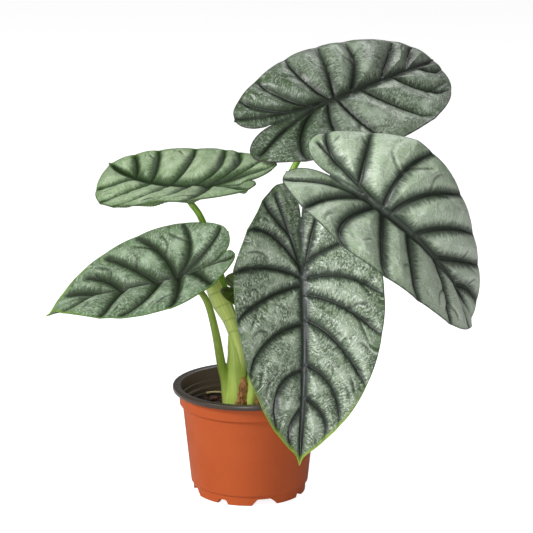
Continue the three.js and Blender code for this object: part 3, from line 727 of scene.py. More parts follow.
def leafMaterial(key, look):
    material, tree, shader = newMaterial(key + "LeafFace", look["roughness"])
    place = objectPlace(tree)
    flow = attributeOf(tree, "flow", "Vector")
    near = attributeOf(tree, "veinNear")
    creases = attributeOf(tree, "creases")
    rim = attributeOf(tree, "rim")
    along = node(tree, "SeparateXYZ", {0: attributeOf(tree, "flat", "Vector")}).outputs["X"]

    brush = streaksOf(tree, flow, (0.7, 0.14, 1.0))
    fineBrush = streaksOf(tree, flow, (1.8, 0.3, 1.0))
    dabs = streaksOf(tree, flow, (0.85, 0.5, 3.0))
    paleDabs = streaksOf(tree, flow, (1.1, 0.38, 5.0))
    bandEdge = frayed(tree, near, brush, look["feather"] * 3)
    bandEdge = frayed(tree, bandEdge, fineBrush, look["feather"] * 3)
    core = ramp(tree, frayed(tree, near, fineBrush, 0.3), look["core"] * 0.35, look["core"], 0.95, 0.0)
    # the bank beside each vein: its own dark green, partly painted shade where the panel sinks into the vein
    bandAndShade = ramp(tree, bandEdge, look["bandAndShade"] * 0.3, look["bandAndShade"], look["shade"], 0.0)
    fineBand = ramp(tree, frayed(tree, creases, fineBrush, 0.8), 0.35, 1.0, 0.0, look["loops"])

    clouds = cloudsOf(tree, place, 110.0)
    grain = cloudsOf(tree, place, 520.0)
    edgeGreen = ramp(tree, rim, 0.0, 15.0, 0.8, 0.0)
    greenness = maths(tree, "MULTIPLY_ADD", clouds, look["mottle"] * 0.7, times(tree, grain, 0.15))
    greenness = maths(tree, "MAXIMUM", greenness, edgeGreen)
    lobeGreen = times(tree, ramp(tree, along, -0.16, 0.14, 1.0, 0.0), look["lobeGreen"])
    greenness = maths(tree, "MAXIMUM", greenness, lobeGreen)
    inPanel = ramp(tree, near, 0.9, 2.2)
    wander = node(tree, "TexNoise", {"Vector": place, "Scale": 160.0, "Detail": 2.0}).outputs["Color"]
    bent = node(tree, "VectorMath", {0: wander, 1: (0.008, 0.008, 0.008), 2: place}, operation="MULTIPLY_ADD")
    cells = node(tree, "TexVoronoi", {"Vector": bent.outputs[0], "Scale": 130.0}, feature="DISTANCE_TO_EDGE")
    net = times(tree, ramp(tree, cells.outputs["Distance"], 0.0, 0.09, 1.0, 0.0), inPanel)
    paleMask = times(tree, ramp(tree, paleDabs, 0.5, 0.62), look["strokes"])
    clusters = cloudsOf(tree, place, 55.0)
    darkMask = times(tree, ramp(tree, dabs, 0.48, 0.53), ramp(tree, clusters, 0.2, 0.65))
    darkMask = times(tree, times(tree, darkMask, inPanel), look["flecks"])
    lines = times(tree, ramp(tree, fineBrush, 0.36, 0.56, 1.0, 0.0), ramp(tree, near, 1.0, 4.0, 0.7, 0.15))

    colour = mixed(tree, greenness, look["silver"], look["green"])
    colour = mixed(tree, paleMask, colour, look["pale"])
    colour = mixed(tree, times(tree, net, look["net"]), colour, look["pale"])
    tipPale = times(tree, ramp(tree, along, 0.1, 0.6), look["tipPale"])
    colour = mixed(tree, tipPale, colour, look["pale"])
    colour = mixed(tree, darkMask, colour, look["deep"])
    colour = mixed(tree, times(tree, lines, look["feather"]), colour, look["green"])
    # the pleat attribute adds painted shade in the lobes' fold to the bank tone
    colour = mixed(tree, maths(tree, "MAXIMUM", bandAndShade, attributeOf(tree, "pleat")), colour, look["bandAndShadeTone"])
    colour = mixed(tree, maths(tree, "MAXIMUM", core, fineBand), colour, look["band"])
    # the midrib's grey strip: its own tone, partly painted light on the rib's lit side
    colour = mixed(tree, times(tree, attributeOf(tree, "midrib"), look["ribAndLitShow"]), colour,
                   look["ribAndLitTone"])
    tipShare = times(tree, ramp(tree, rim, 0.6, 3.2, look["tipGlow"], 0.0), ramp(tree, along, 0.45, 0.9))
    colour = mixed(tree, ramp(tree, rim, 0.35, 1.1, 0.9, 0.0), colour, look["rim"])
    colour = mixed(tree, tipShare, colour, look["tip"])

    rough = ramp(tree, grain, 0.0, 1.0, look["roughness"] - 0.06, look["roughness"] + 0.08)
    tree.links.new(rough, shader.inputs["Roughness"])
    height = maths(tree, "ADD", times(tree, fineBrush, 0.6), times(tree, dabs, 0.6))
    height = maths(tree, "MULTIPLY_ADD", creases, -0.9, height)
    height = maths(tree, "MULTIPLY_ADD", net, 0.35, height)
    finish(tree, shader, colour, height, 0.75, 0.8)
    setGloss(shader, 0.2 + 0.6 * look["gloss"], look["gloss"], 0.27)
    return material


def undersideMaterial(key, look):
    # paler and duller, with the veins a deeper green
    material, tree, shader = newMaterial(key + "LeafBack", 0.6)
    near = attributeOf(tree, "veinNear")
    creases = attributeOf(tree, "creases")
    clouds = cloudsOf(tree, objectPlace(tree), 140.0)
    pale = tuple(0.45 * value + 0.55 * other for value, other in zip(look["green"], (146, 168, 112)))
    deep = tuple(0.7 * value for value in look["green"])
    colour = mixed(tree, times(tree, clouds, 0.35), pale, look["green"])
    vein = maths(tree, "MAXIMUM", ramp(tree, near, 0.1, 0.7, 0.8, 0.0), times(tree, creases, 0.4))
    finish(tree, shader, mixed(tree, vein, colour, deep), clouds, 0.2, 0.5)
    return material


for key, leaf in leaves.items():
    look = {**sharedLook, **leafLooks[key]}
    bladePiece(key, leaf, leafMaterial(key, look), undersideMaterial(key, look))
print("blades made")


stalkForm = {"around": 20, "along": 110, "ribs": 9, "ribDepth": 0.035}
# Each stalk's way up from the crown (mm), and its radius from its foot to the blade.
stalks = {
    "front": {"route": [(2, -10.5, 61), (7, -10, 95), (18, -11, 135), (31, -18, 163), (38, -30, 174)],
              "radii": [(0, 4.6), (0.18, 4.1), (0.45, 2.9), (0.9, 2.0), (1, 1.2)]},
    "right": {"route": [(6.5, -1, 61), (10, 0, 110), (24, 0, 160), (45, 0, 200), (68, -8, 228),
                        (82, -32, 238), (89, -56, 237)],
              "radii": [(0, 4.4), (0.18, 4.0), (0.45, 2.9), (0.9, 2.0), (1, 1.2)]},
    "top": {"route": [(2, 8, 61), (2.5, 8, 109), (7, 10, 150), (14, 14, 195), (30, 19, 235), (45, 20, 263)],
            "radii": [(0, 4.4), (0.18, 4.0), (0.45, 2.9), (0.9, 2.1), (1, 1.2)]},
    "leftLow": {"route": [(-14.5, -8, 61), (-17, -10, 85), (-20.5, -12, 100), (-24, -17, 123),
                          (-28.5, -24, 145), (-33.5, -31, 158), (-42, -37.5, 168)],
                "radii": [(0, 4.7), (0.14, 4.4), (0.3, 3.3), (0.5, 2.8), (0.9, 2.0), (1, 1.2)]},
    "leftHigh": {"route": [(-6.5, 4.5, 61), (-6, 4, 106), (-8.5, 4, 119), (-15, 4, 140), (-21.5, 5, 164),
                           (-34, 7, 203), (-43, 9, 217)],
                 "radii": [(0, 4.6), (0.2, 4.2), (0.45, 3.0), (0.9, 2.2), (1, 1.2)]},
    "young": {"route": [(-6.5, -4, 61), (-7, -5, 95), (-5, -10, 130), (-5, -19, 149)],
              "radii": [(0, 2.8), (0.3, 2.4), (0.9, 1.3), (1, 0.8)]},
}


def frameAlong(line):
    # two directions across a line, carried along it without a turn
    tangents = headings(line)
    normal = np.cross(tangents[0], (0, 1, 0))
    normals = []
    for tangent in tangents:
        normal = normal - tangent * (normal @ tangent)
        normal = normal / np.linalg.norm(normal)
        normals.append(normal)
    normals = np.array(normals)
    return normals, np.cross(tangents, normals)


def tube(name, line, radii, around, along, ribs=0, ribDepth=0.0):
    # a closed round strand along a line, both in millimetres, with its radius at parts of its length
    piece, u, v = grid(name, along, around)
    turn = v * 2 * np.pi
    centre = alongLine(line, np.linspace(0, 1, along + 1))
    first, second = frameAlong(centre)
    row = np.rint(u * along).astype(int)
    at, sizes = zip(*radii)
    radius = np.interp(u, at, sizes) * (1 + ribDepth * np.cos(ribs * turn))
    outward = first[row] * np.cos(turn)[:, None] + second[row] * np.sin(turn)[:, None]
    moveVertices(piece, (centre[row] + outward * radius[:, None]) * mm)
    mergeDoubles(piece, 0.002 * mm)
    closeHoles(piece)
    smooth(piece, 60)
    return piece


def stalkPiece(key, stalk):
    # up from the crown, then on under the blade as the raised back of its midrib
    leaf = leaves[key]
    name = nodeNames.get(key, key)
    reach = np.array([0.0, 0.04, 0.08]) + leaf["joint"]
    nudge = 0.01
    zero = np.zeros(3)
    middle = bladePoints(leaf, reach, zero + 1e-9)
    forward = bladePoints(leaf, reach + nudge, zero + 1e-9) - middle
    sideways = bladePoints(leaf, reach, zero + nudge) - bladePoints(leaf, reach, zero - nudge)
    normal = np.cross(forward, sideways)
    normal /= np.linalg.norm(normal, axis=1)[:, None]
    size = leaf["length"] / reliefForm["usualLength"]
    # the stalk's end stays this far below the blade's hollows
    under = 0.6 * leaf["puff"] + 0.6 * size + bladeForm["thickness"]
    ends = middle - normal * (under + np.array([1.9, 1.5, 0.9]) * max(size, 0.45))[:, None]
    line = catmullRom(stalk["route"] + [tuple(point) for point in ends], 14)
    piece = tube(name + "_stalk", line, stalk["radii"], stalkForm["around"], stalkForm["along"],
                 stalkForm["ribs"], stalkForm["ribDepth"])
    claim(piece, "stalk", "petiole_" + name)
    return piece


def stalkMaterial(name, light, deep, foot):
    # fresh green with fine lengthwise streaks, paler at the foot
    material, tree, shader = newMaterial(name, 0.38)
    place = objectPlace(tree)
    height = node(tree, "SeparateXYZ", {0: place}).outputs["Z"]
    streak = streaksOf(tree, place, (900.0, 900.0, 35.0))
    clouds = cloudsOf(tree, place, 60.0)
    colour = mixed(tree, ramp(tree, streak, 0.3, 0.7), light, deep)
    colour = mixed(tree, times(tree, clouds, 0.4), colour, deep)
    colour = mixed(tree, ramp(tree, height, 64 * mm, 100 * mm, 0.85, 0.0), colour, foot)
    finish(tree, shader, colour, streak, 0.2, 0.4)
    return material


stalkGreen = stalkMaterial("stalkGreen", (150, 176, 68), (122, 148, 48), (190, 212, 112))
stalkBright = stalkMaterial("stalkBright", (150, 192, 58), (122, 164, 44), (168, 192, 100))
for key, stalk in stalks.items():
    piece = stalkPiece(key, stalk)
    piece.data.materials.append(stalkBright if key in ("leftHigh", "top") else stalkGreen)
print("stalks made")


# Each sheath's middle line (mm), widths along it, the way it faces, how far it bows out, its creases
# and its finish. The wings are the green flaps of the stalks' feet, which clasp the crown.
sheaths = {
    "pale_sheath": {
        "line": [(-8, -12.5, 63), (-7.5, -12, 94), (-7.5, -12, 109), (-10, -12, 120), (-14.5, -12.5, 133),
                 (-21, -13.5, 146), (-25.5, -15, 157), (-30.5, -17, 171), (-35, -18, 179)],
        "widths": [(0, 10), (0.25, 9), (0.5, 8.5), (0.6, 9.5), (0.7, 12.3), (0.8, 11), (0.92, 8), (1, 0.8)],
        "facing": (-0.1, -1, 0), "bow": 0.5, "creases": (0.52, 0.6, 0.7, 0.79, 0.88), "finish": "paleSheath",
    },
    "front_cataphyll": {
        "line": [(-8, -16.5, 63), (-7.8, -17, 72), (-6.3, -16.8, 81), (-3.6, -15.6, 91)],
        "widths": [(0, 12.5), (0.3, 12), (0.6, 10.5), (0.8, 8), (0.93, 4.6), (1, 0.8)],
        "facing": (-0.1, -1, 0), "bow": 0.32, "creases": (0.2, 0.45, 0.62, 0.8), "finish": "dryBract",
    },
    "side_cataphyll": {
        "line": [(6, -15.8, 63), (6.4, -15.8, 72), (6, -15.4, 80.5)],
        "widths": [(0, 5), (0.5, 5.4), (0.8, 3.6), (1, 0.8)],
        "facing": (0.35, -0.95, 0), "bow": 0.5, "creases": (0.3, 0.6), "finish": "dryBract",
    },
    "outer_wing": {
        "line": [(-9.5, -13.5, 62), (-10.5, -14.2, 78), (-11, -13.8, 96), (-11.5, -13, 110),
                 (-14.5, -12, 122)],
        "widths": [(0, 14), (0.3, 15), (0.6, 12), (0.85, 8), (1, 0.8)],
        "facing": (-0.25, -1, 0), "bow": 0.5, "creases": (), "finish": "greenWing",
    },
    "low_wing": {
        "line": [(-14, -12, 62), (-14.5, -12.6, 74), (-14, -12.4, 86), (-12.6, -12, 95)],
        "widths": [(0, 9), (0.4, 8), (0.75, 4.5), (1, 0.6)],
        "facing": (-0.35, -1, 0), "bow": 0.5, "creases": (), "finish": "greenWing",
    },
    "front_wing": {
        "line": [(0.5, -14.6, 62), (1.5, -14.8, 76), (2.6, -14.2, 90), (3.8, -13.4, 101)],
        "widths": [(0, 11), (0.4, 10), (0.75, 7), (1, 0.8)],
        "facing": (0.05, -1, 0), "bow": 0.5, "creases": (), "finish": "greenWing",
    },
}


def sheathPiece(name, form, thickness, crumple):
    # a strip that bows across its line; crumple makes it ragged and folded
    rows, columns = 90, 22
    piece, u, v = grid(name, rows, columns)
    centre = alongLine(catmullRom(form["line"]), np.linspace(0, 1, rows + 1))
    tangents = headings(centre)
    across = np.cross(tangents, np.array(form["facing"], float))
    across /= np.linalg.norm(across, axis=1)[:, None]
    out = np.cross(across, tangents)
    row = np.rint(u * rows).astype(int)
    at, widths = zip(*form["widths"])
    swing = v * 2 - 1
    ragged = np.stack([u * 9, np.sign(swing) * 2, u * 0], axis=1)
    half = np.interp(u, at, widths) / 2 * (1 + 0.3 * crumple * roughen(ragged, 1.0, 2))
    crease = np.zeros(len(u))
    for place in form["creases"]:
        crease += np.exp(-((u - place + 0.02 * swing ** 2) / 0.008) ** 2)
    lift = (1 - swing ** 2) * half * form["bow"] * 2 - 0.35 * crease - half * form["bow"]
    points = centre[row] + across[row] * (swing * half)[:, None] + out[row] * lift[:, None]
    if crumple:
        folds = roughen(points * (1.6, 1.6, 0.35), 0.5, 5) * 1.3 + roughen(points, 1.1, 6) * 0.5
        points = points + out[row] * (folds * crumple)[:, None]
    moveVertices(piece, points * mm)
    setAttribute(piece, "sheathPlace", np.stack([u, swing, crease], axis=1))
    mergeDoubles(piece, 0.002 * mm)
    applyModifier(piece, "SOLIDIFY", thickness=thickness * mm, offset=-1)
    editAll(piece)
    bpy.ops.mesh.normals_make_consistent(inside=False)
    bpy.ops.object.mode_set(mode="OBJECT")
    smooth(piece, 60)
    return piece


def sheathMaterial(name, light, deep, line):
    material, tree, shader = newMaterial(name, 0.42)
    place = node(tree, "SeparateXYZ", {0: attributeOf(tree, "sheathPlace", "Vector")}).outputs
    fibre = streaksOf(tree, attributeOf(tree, "sheathPlace", "Vector"), (2.0, 16.0, 0.0))
    clouds = cloudsOf(tree, objectPlace(tree), 110.0)
    colour = mixed(tree, ramp(tree, fibre, 0.35, 0.65), light, deep)
    colour = mixed(tree, times(tree, clouds, 0.3), colour, deep)
    # darker green in the creases: painted shade in the folds
    colour = mixed(tree, ramp(tree, place["Z"], 0.25, 0.9, 0.0, 0.45), colour, line)
    finish(tree, shader, colour, fibre, 0.25, 0.4)
    return material


def dryMaterial():
    # papery brown with torn fibres and darker clouds
    material, tree, shader = newMaterial("dryBract", 0.75)
    place = attributeOf(tree, "sheathPlace", "Vector")
    fibre = streaksOf(tree, place, (5.0, 14.0, 0.0))
    clouds = cloudsOf(tree, objectPlace(tree), 260.0)
    colour = mixed(tree, ramp(tree, fibre, 0.35, 0.65), (222, 164, 98), (128, 78, 38))
    colour = mixed(tree, times(tree, clouds, 0.55), colour, (84, 50, 26))
    finish(tree, shader, colour, maths(tree, "ADD", fibre, clouds), 0.5, 0.8)
    return material


# Each finish: its material, its slot, and how thick (mm) and how crumpled its pieces are.
sheathFinishes = {
    "paleSheath": (sheathMaterial("paleSheath", (222, 236, 142), (194, 214, 106), (134, 160, 62)),
                   "sheath", 0.7, 0.0),
    "greenWing": (sheathMaterial("greenWing", (204, 226, 118), (170, 198, 82), (110, 140, 50)),
                  "sheath", 0.7, 0.0),
    "dryBract": (dryMaterial(), "dry_bract", 0.35, 0.9),
}
for name, form in sheaths.items():
    material, slotName, thickness, crumple = sheathFinishes[form["finish"]]
    isWing = form["finish"] == "greenWing"
    piece = sheathPiece(name if isWing else name + "_skin", form, thickness, crumple)
    piece.data.materials.append(material)
    claim(piece, slotName, *([] if isWing else [name]))
print("sheaths made")


potForm = {
    "segments": 192,
    "height": 81.5, "wall": 1.5,
    "lipRadius": 57, "lipHeight": 3.4,
    "collarTop": 52.3, "collarBottom": 51.9, "collarHeight": 14,
    "bodyTop": 49.7, "bodyBottom": 43.7,
    "footRadius": 41.7, "footHeight": 7.8,
    "floorHeight": 5.2, "standRadius": 15,
    "innerSteps": (71.5, 63.5),     # heights of the ridges on the inner wall
    "drains": {"count": 8, "radius": 4, "ring": 30, "first": 22.5},
    "notches": [{"count": 4, "first": 16, "bottom": 26, "top": 15, "height": 5},
                {"count": 4, "first": -28, "bottom": 12, "top": 8, "height": 3.6}],
}


lipBottom = potForm["height"] - potForm["lipHeight"]
collarLine = potForm["height"] - potForm["collarHeight"]


def turnedPiece(name, profile, segments):
    # a ring drawn up and out from one radius and height of the profile to the next
    radius, height = profile[0]
    piece = added(bpy.ops.mesh.primitive_circle_add, vertices=segments, radius=radius * mm,
                  location=(0, 0, height * mm))
    piece.name = name
    settle(piece)
    editAll(piece)
    for (fromRadius, fromHeight), (toRadius, toHeight) in zip(profile, profile[1:]):
        rise = (toHeight - fromHeight) * mm
        bpy.ops.mesh.extrude_edges_move(TRANSFORM_OT_translate={"value": (0, 0, rise)})
        factor = toRadius / fromRadius
        bpy.ops.transform.resize(value=(factor, factor, 1))
    bpy.ops.object.mode_set(mode="OBJECT")
    closeHoles(piece)
    return piece


def potProfile(form):
    # names for the radii and heights that it uses
    stand, foot, lip, wall = [form[key] for key in ("standRadius", "footRadius", "lipRadius", "wall")]
    collarTop, collarBottom = form["collarTop"], form["collarBottom"]
    bodyTop, bodyBottom = form["bodyTop"], form["bodyBottom"]
    top, footTop, base = form["height"], form["footHeight"], form["floorHeight"]
    outside = [
        (stand, 0), (stand + 2, 2.6), (foot - 6, 2.6), (foot - 4.5, 0.3), (foot - 4.1, 0),
        (foot - 0.5, 0), (foot, 0.4), (foot + 0.4, footTop - 1), (bodyBottom - 0.5, footTop - 0.2),
        (bodyBottom, footTop + 0.4), (bodyTop, collarLine - 1.1), (bodyTop + 0.4, collarLine - 0.7),
        (collarBottom - 0.4, collarLine - 0.2), (collarBottom, collarLine + 0.3),
        (collarTop, lipBottom - 0.4), (collarTop + 0.4, lipBottom), (lip - 1.8, lipBottom),
        (lip - 0.9, lipBottom - 0.4), (lip - 0.3, lipBottom - 0.1), (lip, lipBottom + 0.7),
        (lip, top - 1.1), (lip - 0.3, top - 0.4), (lip - 1, top),
    ]
    innerTop, innerBottom = collarTop - wall, collarBottom - wall
    upper, lower = form["innerSteps"]
    inside = [
        (innerTop + 1.6, top - 0.05), (innerTop + 0.5, top - 0.5), (innerTop, top - 1.6),
        (innerTop - 0.1, upper + 0.9), (innerTop - 0.8, upper + 0.5), (innerTop - 0.9, upper),
        (innerBottom - 0.6, collarLine + 1), (bodyTop - wall, collarLine - 0.4),
        (bodyTop - wall - 0.1, lower + 0.6), (bodyTop - wall - 0.8, lower),
        (bodyBottom - wall, footTop + 1), (foot - wall, footTop), (foot - wall, base),
        (stand + 3, base), (stand, wall + 1.3),
    ]
    return outside + inside


def notchCutter(cut, angle):
    # a block with slanting sides and round corners, through the foot
    inner, outer = potForm["footRadius"] - 6.5, potForm["footRadius"] + 6
    below = 3
    piece = added(bpy.ops.mesh.primitive_cube_add, size=2)
    corners = coordinates(piece)
    slope = (cut["bottom"] - cut["top"]) / cut["height"]
    half = np.where(corners[:, 2] > 0, cut["top"], cut["bottom"] + slope * below) / 2
    reach = potForm["footRadius"] * np.tan(np.radians(half))
    depth = np.where(corners[:, 1] > 0, -inner, -outer)
    height = np.where(corners[:, 2] > 0, cut["height"], -below)
    moveVertices(piece, np.stack([np.sign(corners[:, 0]) * reach, depth, height], axis=1) * mm)
    applyModifier(piece, "BEVEL", width=1.3 * mm, segments=5, limit_method="NONE")
    piece.rotation_euler = (0, 0, math.radians(angle))
    settle(piece)
    return piece


def drainCutter(drain, angle):
    turn = math.radians(angle)
    place = (drain["ring"] * mm * math.sin(turn), -drain["ring"] * mm * math.cos(turn), 0)
    piece = added(bpy.ops.mesh.primitive_cylinder_add, vertices=32, radius=drain["radius"] * mm,
                  depth=30 * mm, location=place)
    settle(piece)
    return piece


def potPiece(form):
    piece = turnedPiece("nursery_pot", potProfile(form), form["segments"])
    cutters = []
    for cut in form["notches"]:
        cutters += [notchCutter(cut, cut["first"] + 360 * i / cut["count"]) for i in range(cut["count"])]
    drain = form["drains"]
    cutters += [drainCutter(drain, drain["first"] + 360 * i / drain["count"]) for i in range(drain["count"])]
    cutter = joined(cutters, "cutter")
    applyModifier(piece, "BOOLEAN", object=cutter, operation="DIFFERENCE", solver="EXACT")
    bpy.data.objects.remove(cutter)
    smooth(piece, 32)
    return piece


def plasticMaterial(name, colour, shade, roughness, gloss):
    # moulded plastic: an even tone with a fine grain, faint turning lines and dusty patches
    material, tree, shader = newMaterial(name, roughness)
    place = objectPlace(tree)
    clouds = cloudsOf(tree, place, 26.0)
    grain = cloudsOf(tree, place, 1500.0)
    rings = streaksOf(tree, place, (10.0, 10.0, 900.0))
    dust = {"Vector": place, "Fineness": 500.0, "Patches": 30.0, "Amount": 0.25}
    speck = useGroup(tree, flecks, dust)
    tone = mixed(tree, times(tree, clouds, 0.35), colour, shade)
    tone = mixed(tree, times(tree, grain, 0.12), tone, shade)
    tone = mixed(tree, speck, tone, shade)
    rough = ramp(tree, clouds, 0.0, 1.0, roughness - 0.05, roughness + 0.07)
    tree.links.new(rough, shader.inputs["Roughness"])
    height = maths(tree, "ADD", times(tree, grain, 0.5), times(tree, rings, 0.5))
    finish(tree, shader, tone, height, 0.06, 0.5)
    setGloss(shader, 0.3, gloss, 0.35)
    return material


pot = potPiece(potForm)
pot.data.materials.append(plasticMaterial("potClay", (182, 83, 34), (164, 70, 28), 0.55, 0.0))
pot.data.materials.append(plasticMaterial("potLip", (60, 49, 40), (46, 37, 30), 0.3, 0.6))
pot.data.materials.append(plasticMaterial("potInside", (108, 94, 78), (84, 72, 60), 0.45, 0.1))
wallHeights = (0, potForm["footHeight"], collarLine - 0.5, collarLine + 0.5, lipBottom - 0.1)
wallRadii = (potForm["footRadius"], potForm["footRadius"] + 0.8, potForm["bodyTop"],
             potForm["collarBottom"], potForm["collarTop"])
for face in pot.data.polygons:
    x, y, height = face.center / mm
    radius = math.hypot(x, y)
    outerWall = np.interp(height, wallHeights, wallRadii)
    isInside = radius < outerWall - potForm["wall"] * 0.6 and height > 2.7
    isLip = height > lipBottom - 0.45 and radius > potForm["collarTop"] - 1.2
    face.material_index = 1 if isLip else 2 if isInside else 0
claim(pot, "pot_plastic", "pot")
print("pot made")

# potting mix, crown and roots

mixForm = {"top": 63.3, "edge": 47.3, "segments": 120, "crumbs": 520, "fibres": 70, "seed": 11,
           "crumbSizes": (1.1, 1.5, 2.0, 2.6, 3.2), "fibreRadius": 0.16}
crownForm = {
    "x": -6, "y": -3,
    "profile": [(2, 33), (7, 34), (12, 39), (15, 47), (16.5, 55), (16, 61), (14, 65), (8, 66.5), (1, 67)],
    "roots": 7, "rootFrom": 42, "rootReach": 30, "rootDrop": 27, "rootRadius": 1.9, "rootTip": 0.9,
}


def mixPiece(form):
    floor, foot = potForm["floorHeight"] + 0.3, potForm["footRadius"]
    edge = form["edge"]
    sides = [(14, 3.1), (foot - 2, floor), (foot - 2, 9), (42, 11), (edge, form["top"] - 1.2)]
    surface = [(edge * (1 - 0.96 * i / 44), form["top"]) for i in range(1, 45)]
    piece = turnedPiece("potting_mix_surface", sides + surface, form["segments"])
    points = coordinates(piece)
    lift = roughen(points, 160, 3) * 1.1 + roughen(points, 420, 4) * 0.9 + roughen(points, 900, 6) * 0.4
    radius = np.hypot(points[:, 0], points[:, 1]) / mm
    free = (points[:, 2] > (form["top"] - 0.5) * mm) & (radius < edge - 0.5)
    points[:, 2] += np.where(free, lift, 0) * mm
    moveVertices(piece, points)
    smooth(piece, 40)
    return piece


strawForm = {"from": (-33, 27), "to": (-21, 29), "bow": 1, "radius": 0.8, "height": 65.7}


def strawAway(x, y):
    # millimetres from a place on the mix to the straw
    (fromX, fromY), (toX, toY) = strawForm["from"], strawForm["to"]
    runX, runY = toX - fromX, toY - fromY
    part = max(0, min(1, ((x - fromX) * runX + (y - fromY) * runY) / (runX ** 2 + runY ** 2)))
    return math.hypot(x - fromX - part * runX, y - fromY - part * runY)


def crumb(chance, size):
    # a rough lump of bark or peat
    piece = added(bpy.ops.mesh.primitive_ico_sphere_add, subdivisions=1, radius=1)
    points = coordinates(piece)
    points *= 1 + 0.45 * np.array([chance.uniform(-1, 1) for _ in points])[:, None]
    points *= np.array([size, size * chance.uniform(0.4, 0.9), size * chance.uniform(0.25, 0.6)])
    moveVertices(piece, points * mm)
    return piece


def scattered(name, shapes, count, chance, heightAt):
    # copies of a few shapes over the mix, joined as one piece
    meshes = [shape.data for shape in shapes]
    crown = Vector((crownForm["x"], crownForm["y"]))
    vertices, faces = [], []
    made = 0
    while made < count:
        reach, angle = 46 * math.sqrt(chance.random()), chance.uniform(0, 2 * math.pi)
        x, y = reach * math.cos(angle), reach * math.sin(angle)
        if (Vector((x, y)) - crown).length < 13 or strawAway(x, y) < 3.4:
            continue
        mesh = chance.choice(meshes)
        turn, tilt, grow = chance.uniform(0, 6.28), chance.uniform(-0.5, 0.5), chance.uniform(0.6, 1.3)
        first = len(vertices)
        for vertex in mesh.vertices:
            px, py, pz = [value * grow for value in vertex.co]
            py, pz = py * math.cos(tilt) - pz * math.sin(tilt), py * math.sin(tilt) + pz * math.cos(tilt)
            px, py = px * math.cos(turn) - py * math.sin(turn), px * math.sin(turn) + py * math.cos(turn)
            vertices.append((px + x * mm, py + y * mm, pz + heightAt * mm))
        faces += [[first + corner for corner in face.vertices] for face in mesh.polygons]
        made += 1
    data = bpy.data.meshes.new(name)
    data.from_pydata(vertices, [], faces)
    data.update()
    piece = bpy.data.objects.new(name, data)
    scene.collection.objects.link(piece)
    for shape in shapes:
        bpy.data.objects.remove(shape)
    return piece


def crownPiece(form):
    body = turnedPiece("crown", form["profile"], 48)
    points = coordinates(body)
    outward = points * (1, 1, 0)
    outward /= np.maximum(np.linalg.norm(outward, axis=1), 1e-6)[:, None]
    rings = 0.5 * np.sin(points[:, 2] / mm * 1.6) + roughen(points, 140, 8) * 0.8
    points += outward * (rings * mm)[:, None] + np.array([form["x"], form["y"], 0]) * mm
    moveVertices(body, points)
    pieces = [body]
    for i in range(form["roots"]):
        angle = math.radians(360 * i / form["roots"] + 10)
        line = []
        for step, part in enumerate((0.2, 0.55, 0.85, 1)):
            swing = angle + math.radians(14 * math.sin(i * 2.3 + step))
            line.append((form["rootReach"] * part * math.sin(swing) + form["x"] * (1 - part),
                         -form["rootReach"] * part * math.cos(swing) + form["y"] * (1 - part),
                         form["rootFrom"] - form["rootDrop"] * part ** 2))
        pieces.append(tube("root", catmullRom(line), [(0, form["rootRadius"]), (1, form["rootTip"])], 12, 30))
    piece = joined(pieces, "crown_and_roots")
    smooth(piece, 50)
    return piece


def earthMaterial(name, tones, scale, roughness):
    # crumbly: three tones by two sizes of cloud, with a strong grain
    material, tree, shader = newMaterial(name, roughness)
    place = objectPlace(tree)
    clouds = cloudsOf(tree, place, scale)
    grain = cloudsOf(tree, place, scale * 5)
    grit = {"Vector": place, "Fineness": scale * 3, "Patches": scale * 0.5, "Amount": 0.8}
    speck = useGroup(tree, flecks, grit)
    colour = mixed(tree, clouds, tones[0], tones[1])
    colour = mixed(tree, times(tree, grain, 0.6), colour, tones[2])
    colour = mixed(tree, speck, colour, tones[2])
    finish(tree, shader, colour, grain, 0.6, 0.9)
    return material


peat = earthMaterial("peat", [(52, 36, 26), (34, 24, 18), (22, 16, 12)], 220.0, 0.95)
barkCrumb = earthMaterial("barkCrumb", [(96, 56, 38), (58, 38, 28), (38, 26, 20)], 160.0, 0.85)
rootBrown = earthMaterial("rootBrown", [(128, 92, 62), (98, 66, 42), (62, 42, 28)], 120.0, 0.8)

chance = random.Random(mixForm["seed"])
surface = mixPiece(mixForm)
surface.data.materials.append(peat)
claim(surface, "mix", "potting_mix")
crumbs = scattered("mix_crumbs", [crumb(chance, size) for size in mixForm["crumbSizes"]],
                   mixForm["crumbs"], chance, mixForm["top"] + 0.6)
crumbs.data.materials.append(barkCrumb)
claim(crumbs, "mix")
strands = []
for i in range(5):
    bend = [(0, 0, 0), (2.5, chance.uniform(-1, 1), 0.4), (5, chance.uniform(-1.5, 1.5), 0.2), (7.5, 0, 0)]
    strands.append(tube("fibre", catmullRom(bend, 4), [(0, mixForm["fibreRadius"])], 5, 7))
fibreBits = scattered("mix_fibres", strands, mixForm["fibres"], chance, mixForm["top"] + 1.2)
fibreBits.data.materials.append(rootBrown)
claim(fibreBits, "mix")
crown = crownPiece(crownForm)
crown.data.materials.append(rootBrown)
claim(crown, "rhizome", "rhizome")
print("mix and crown made")

# bark chips and straw on the mix


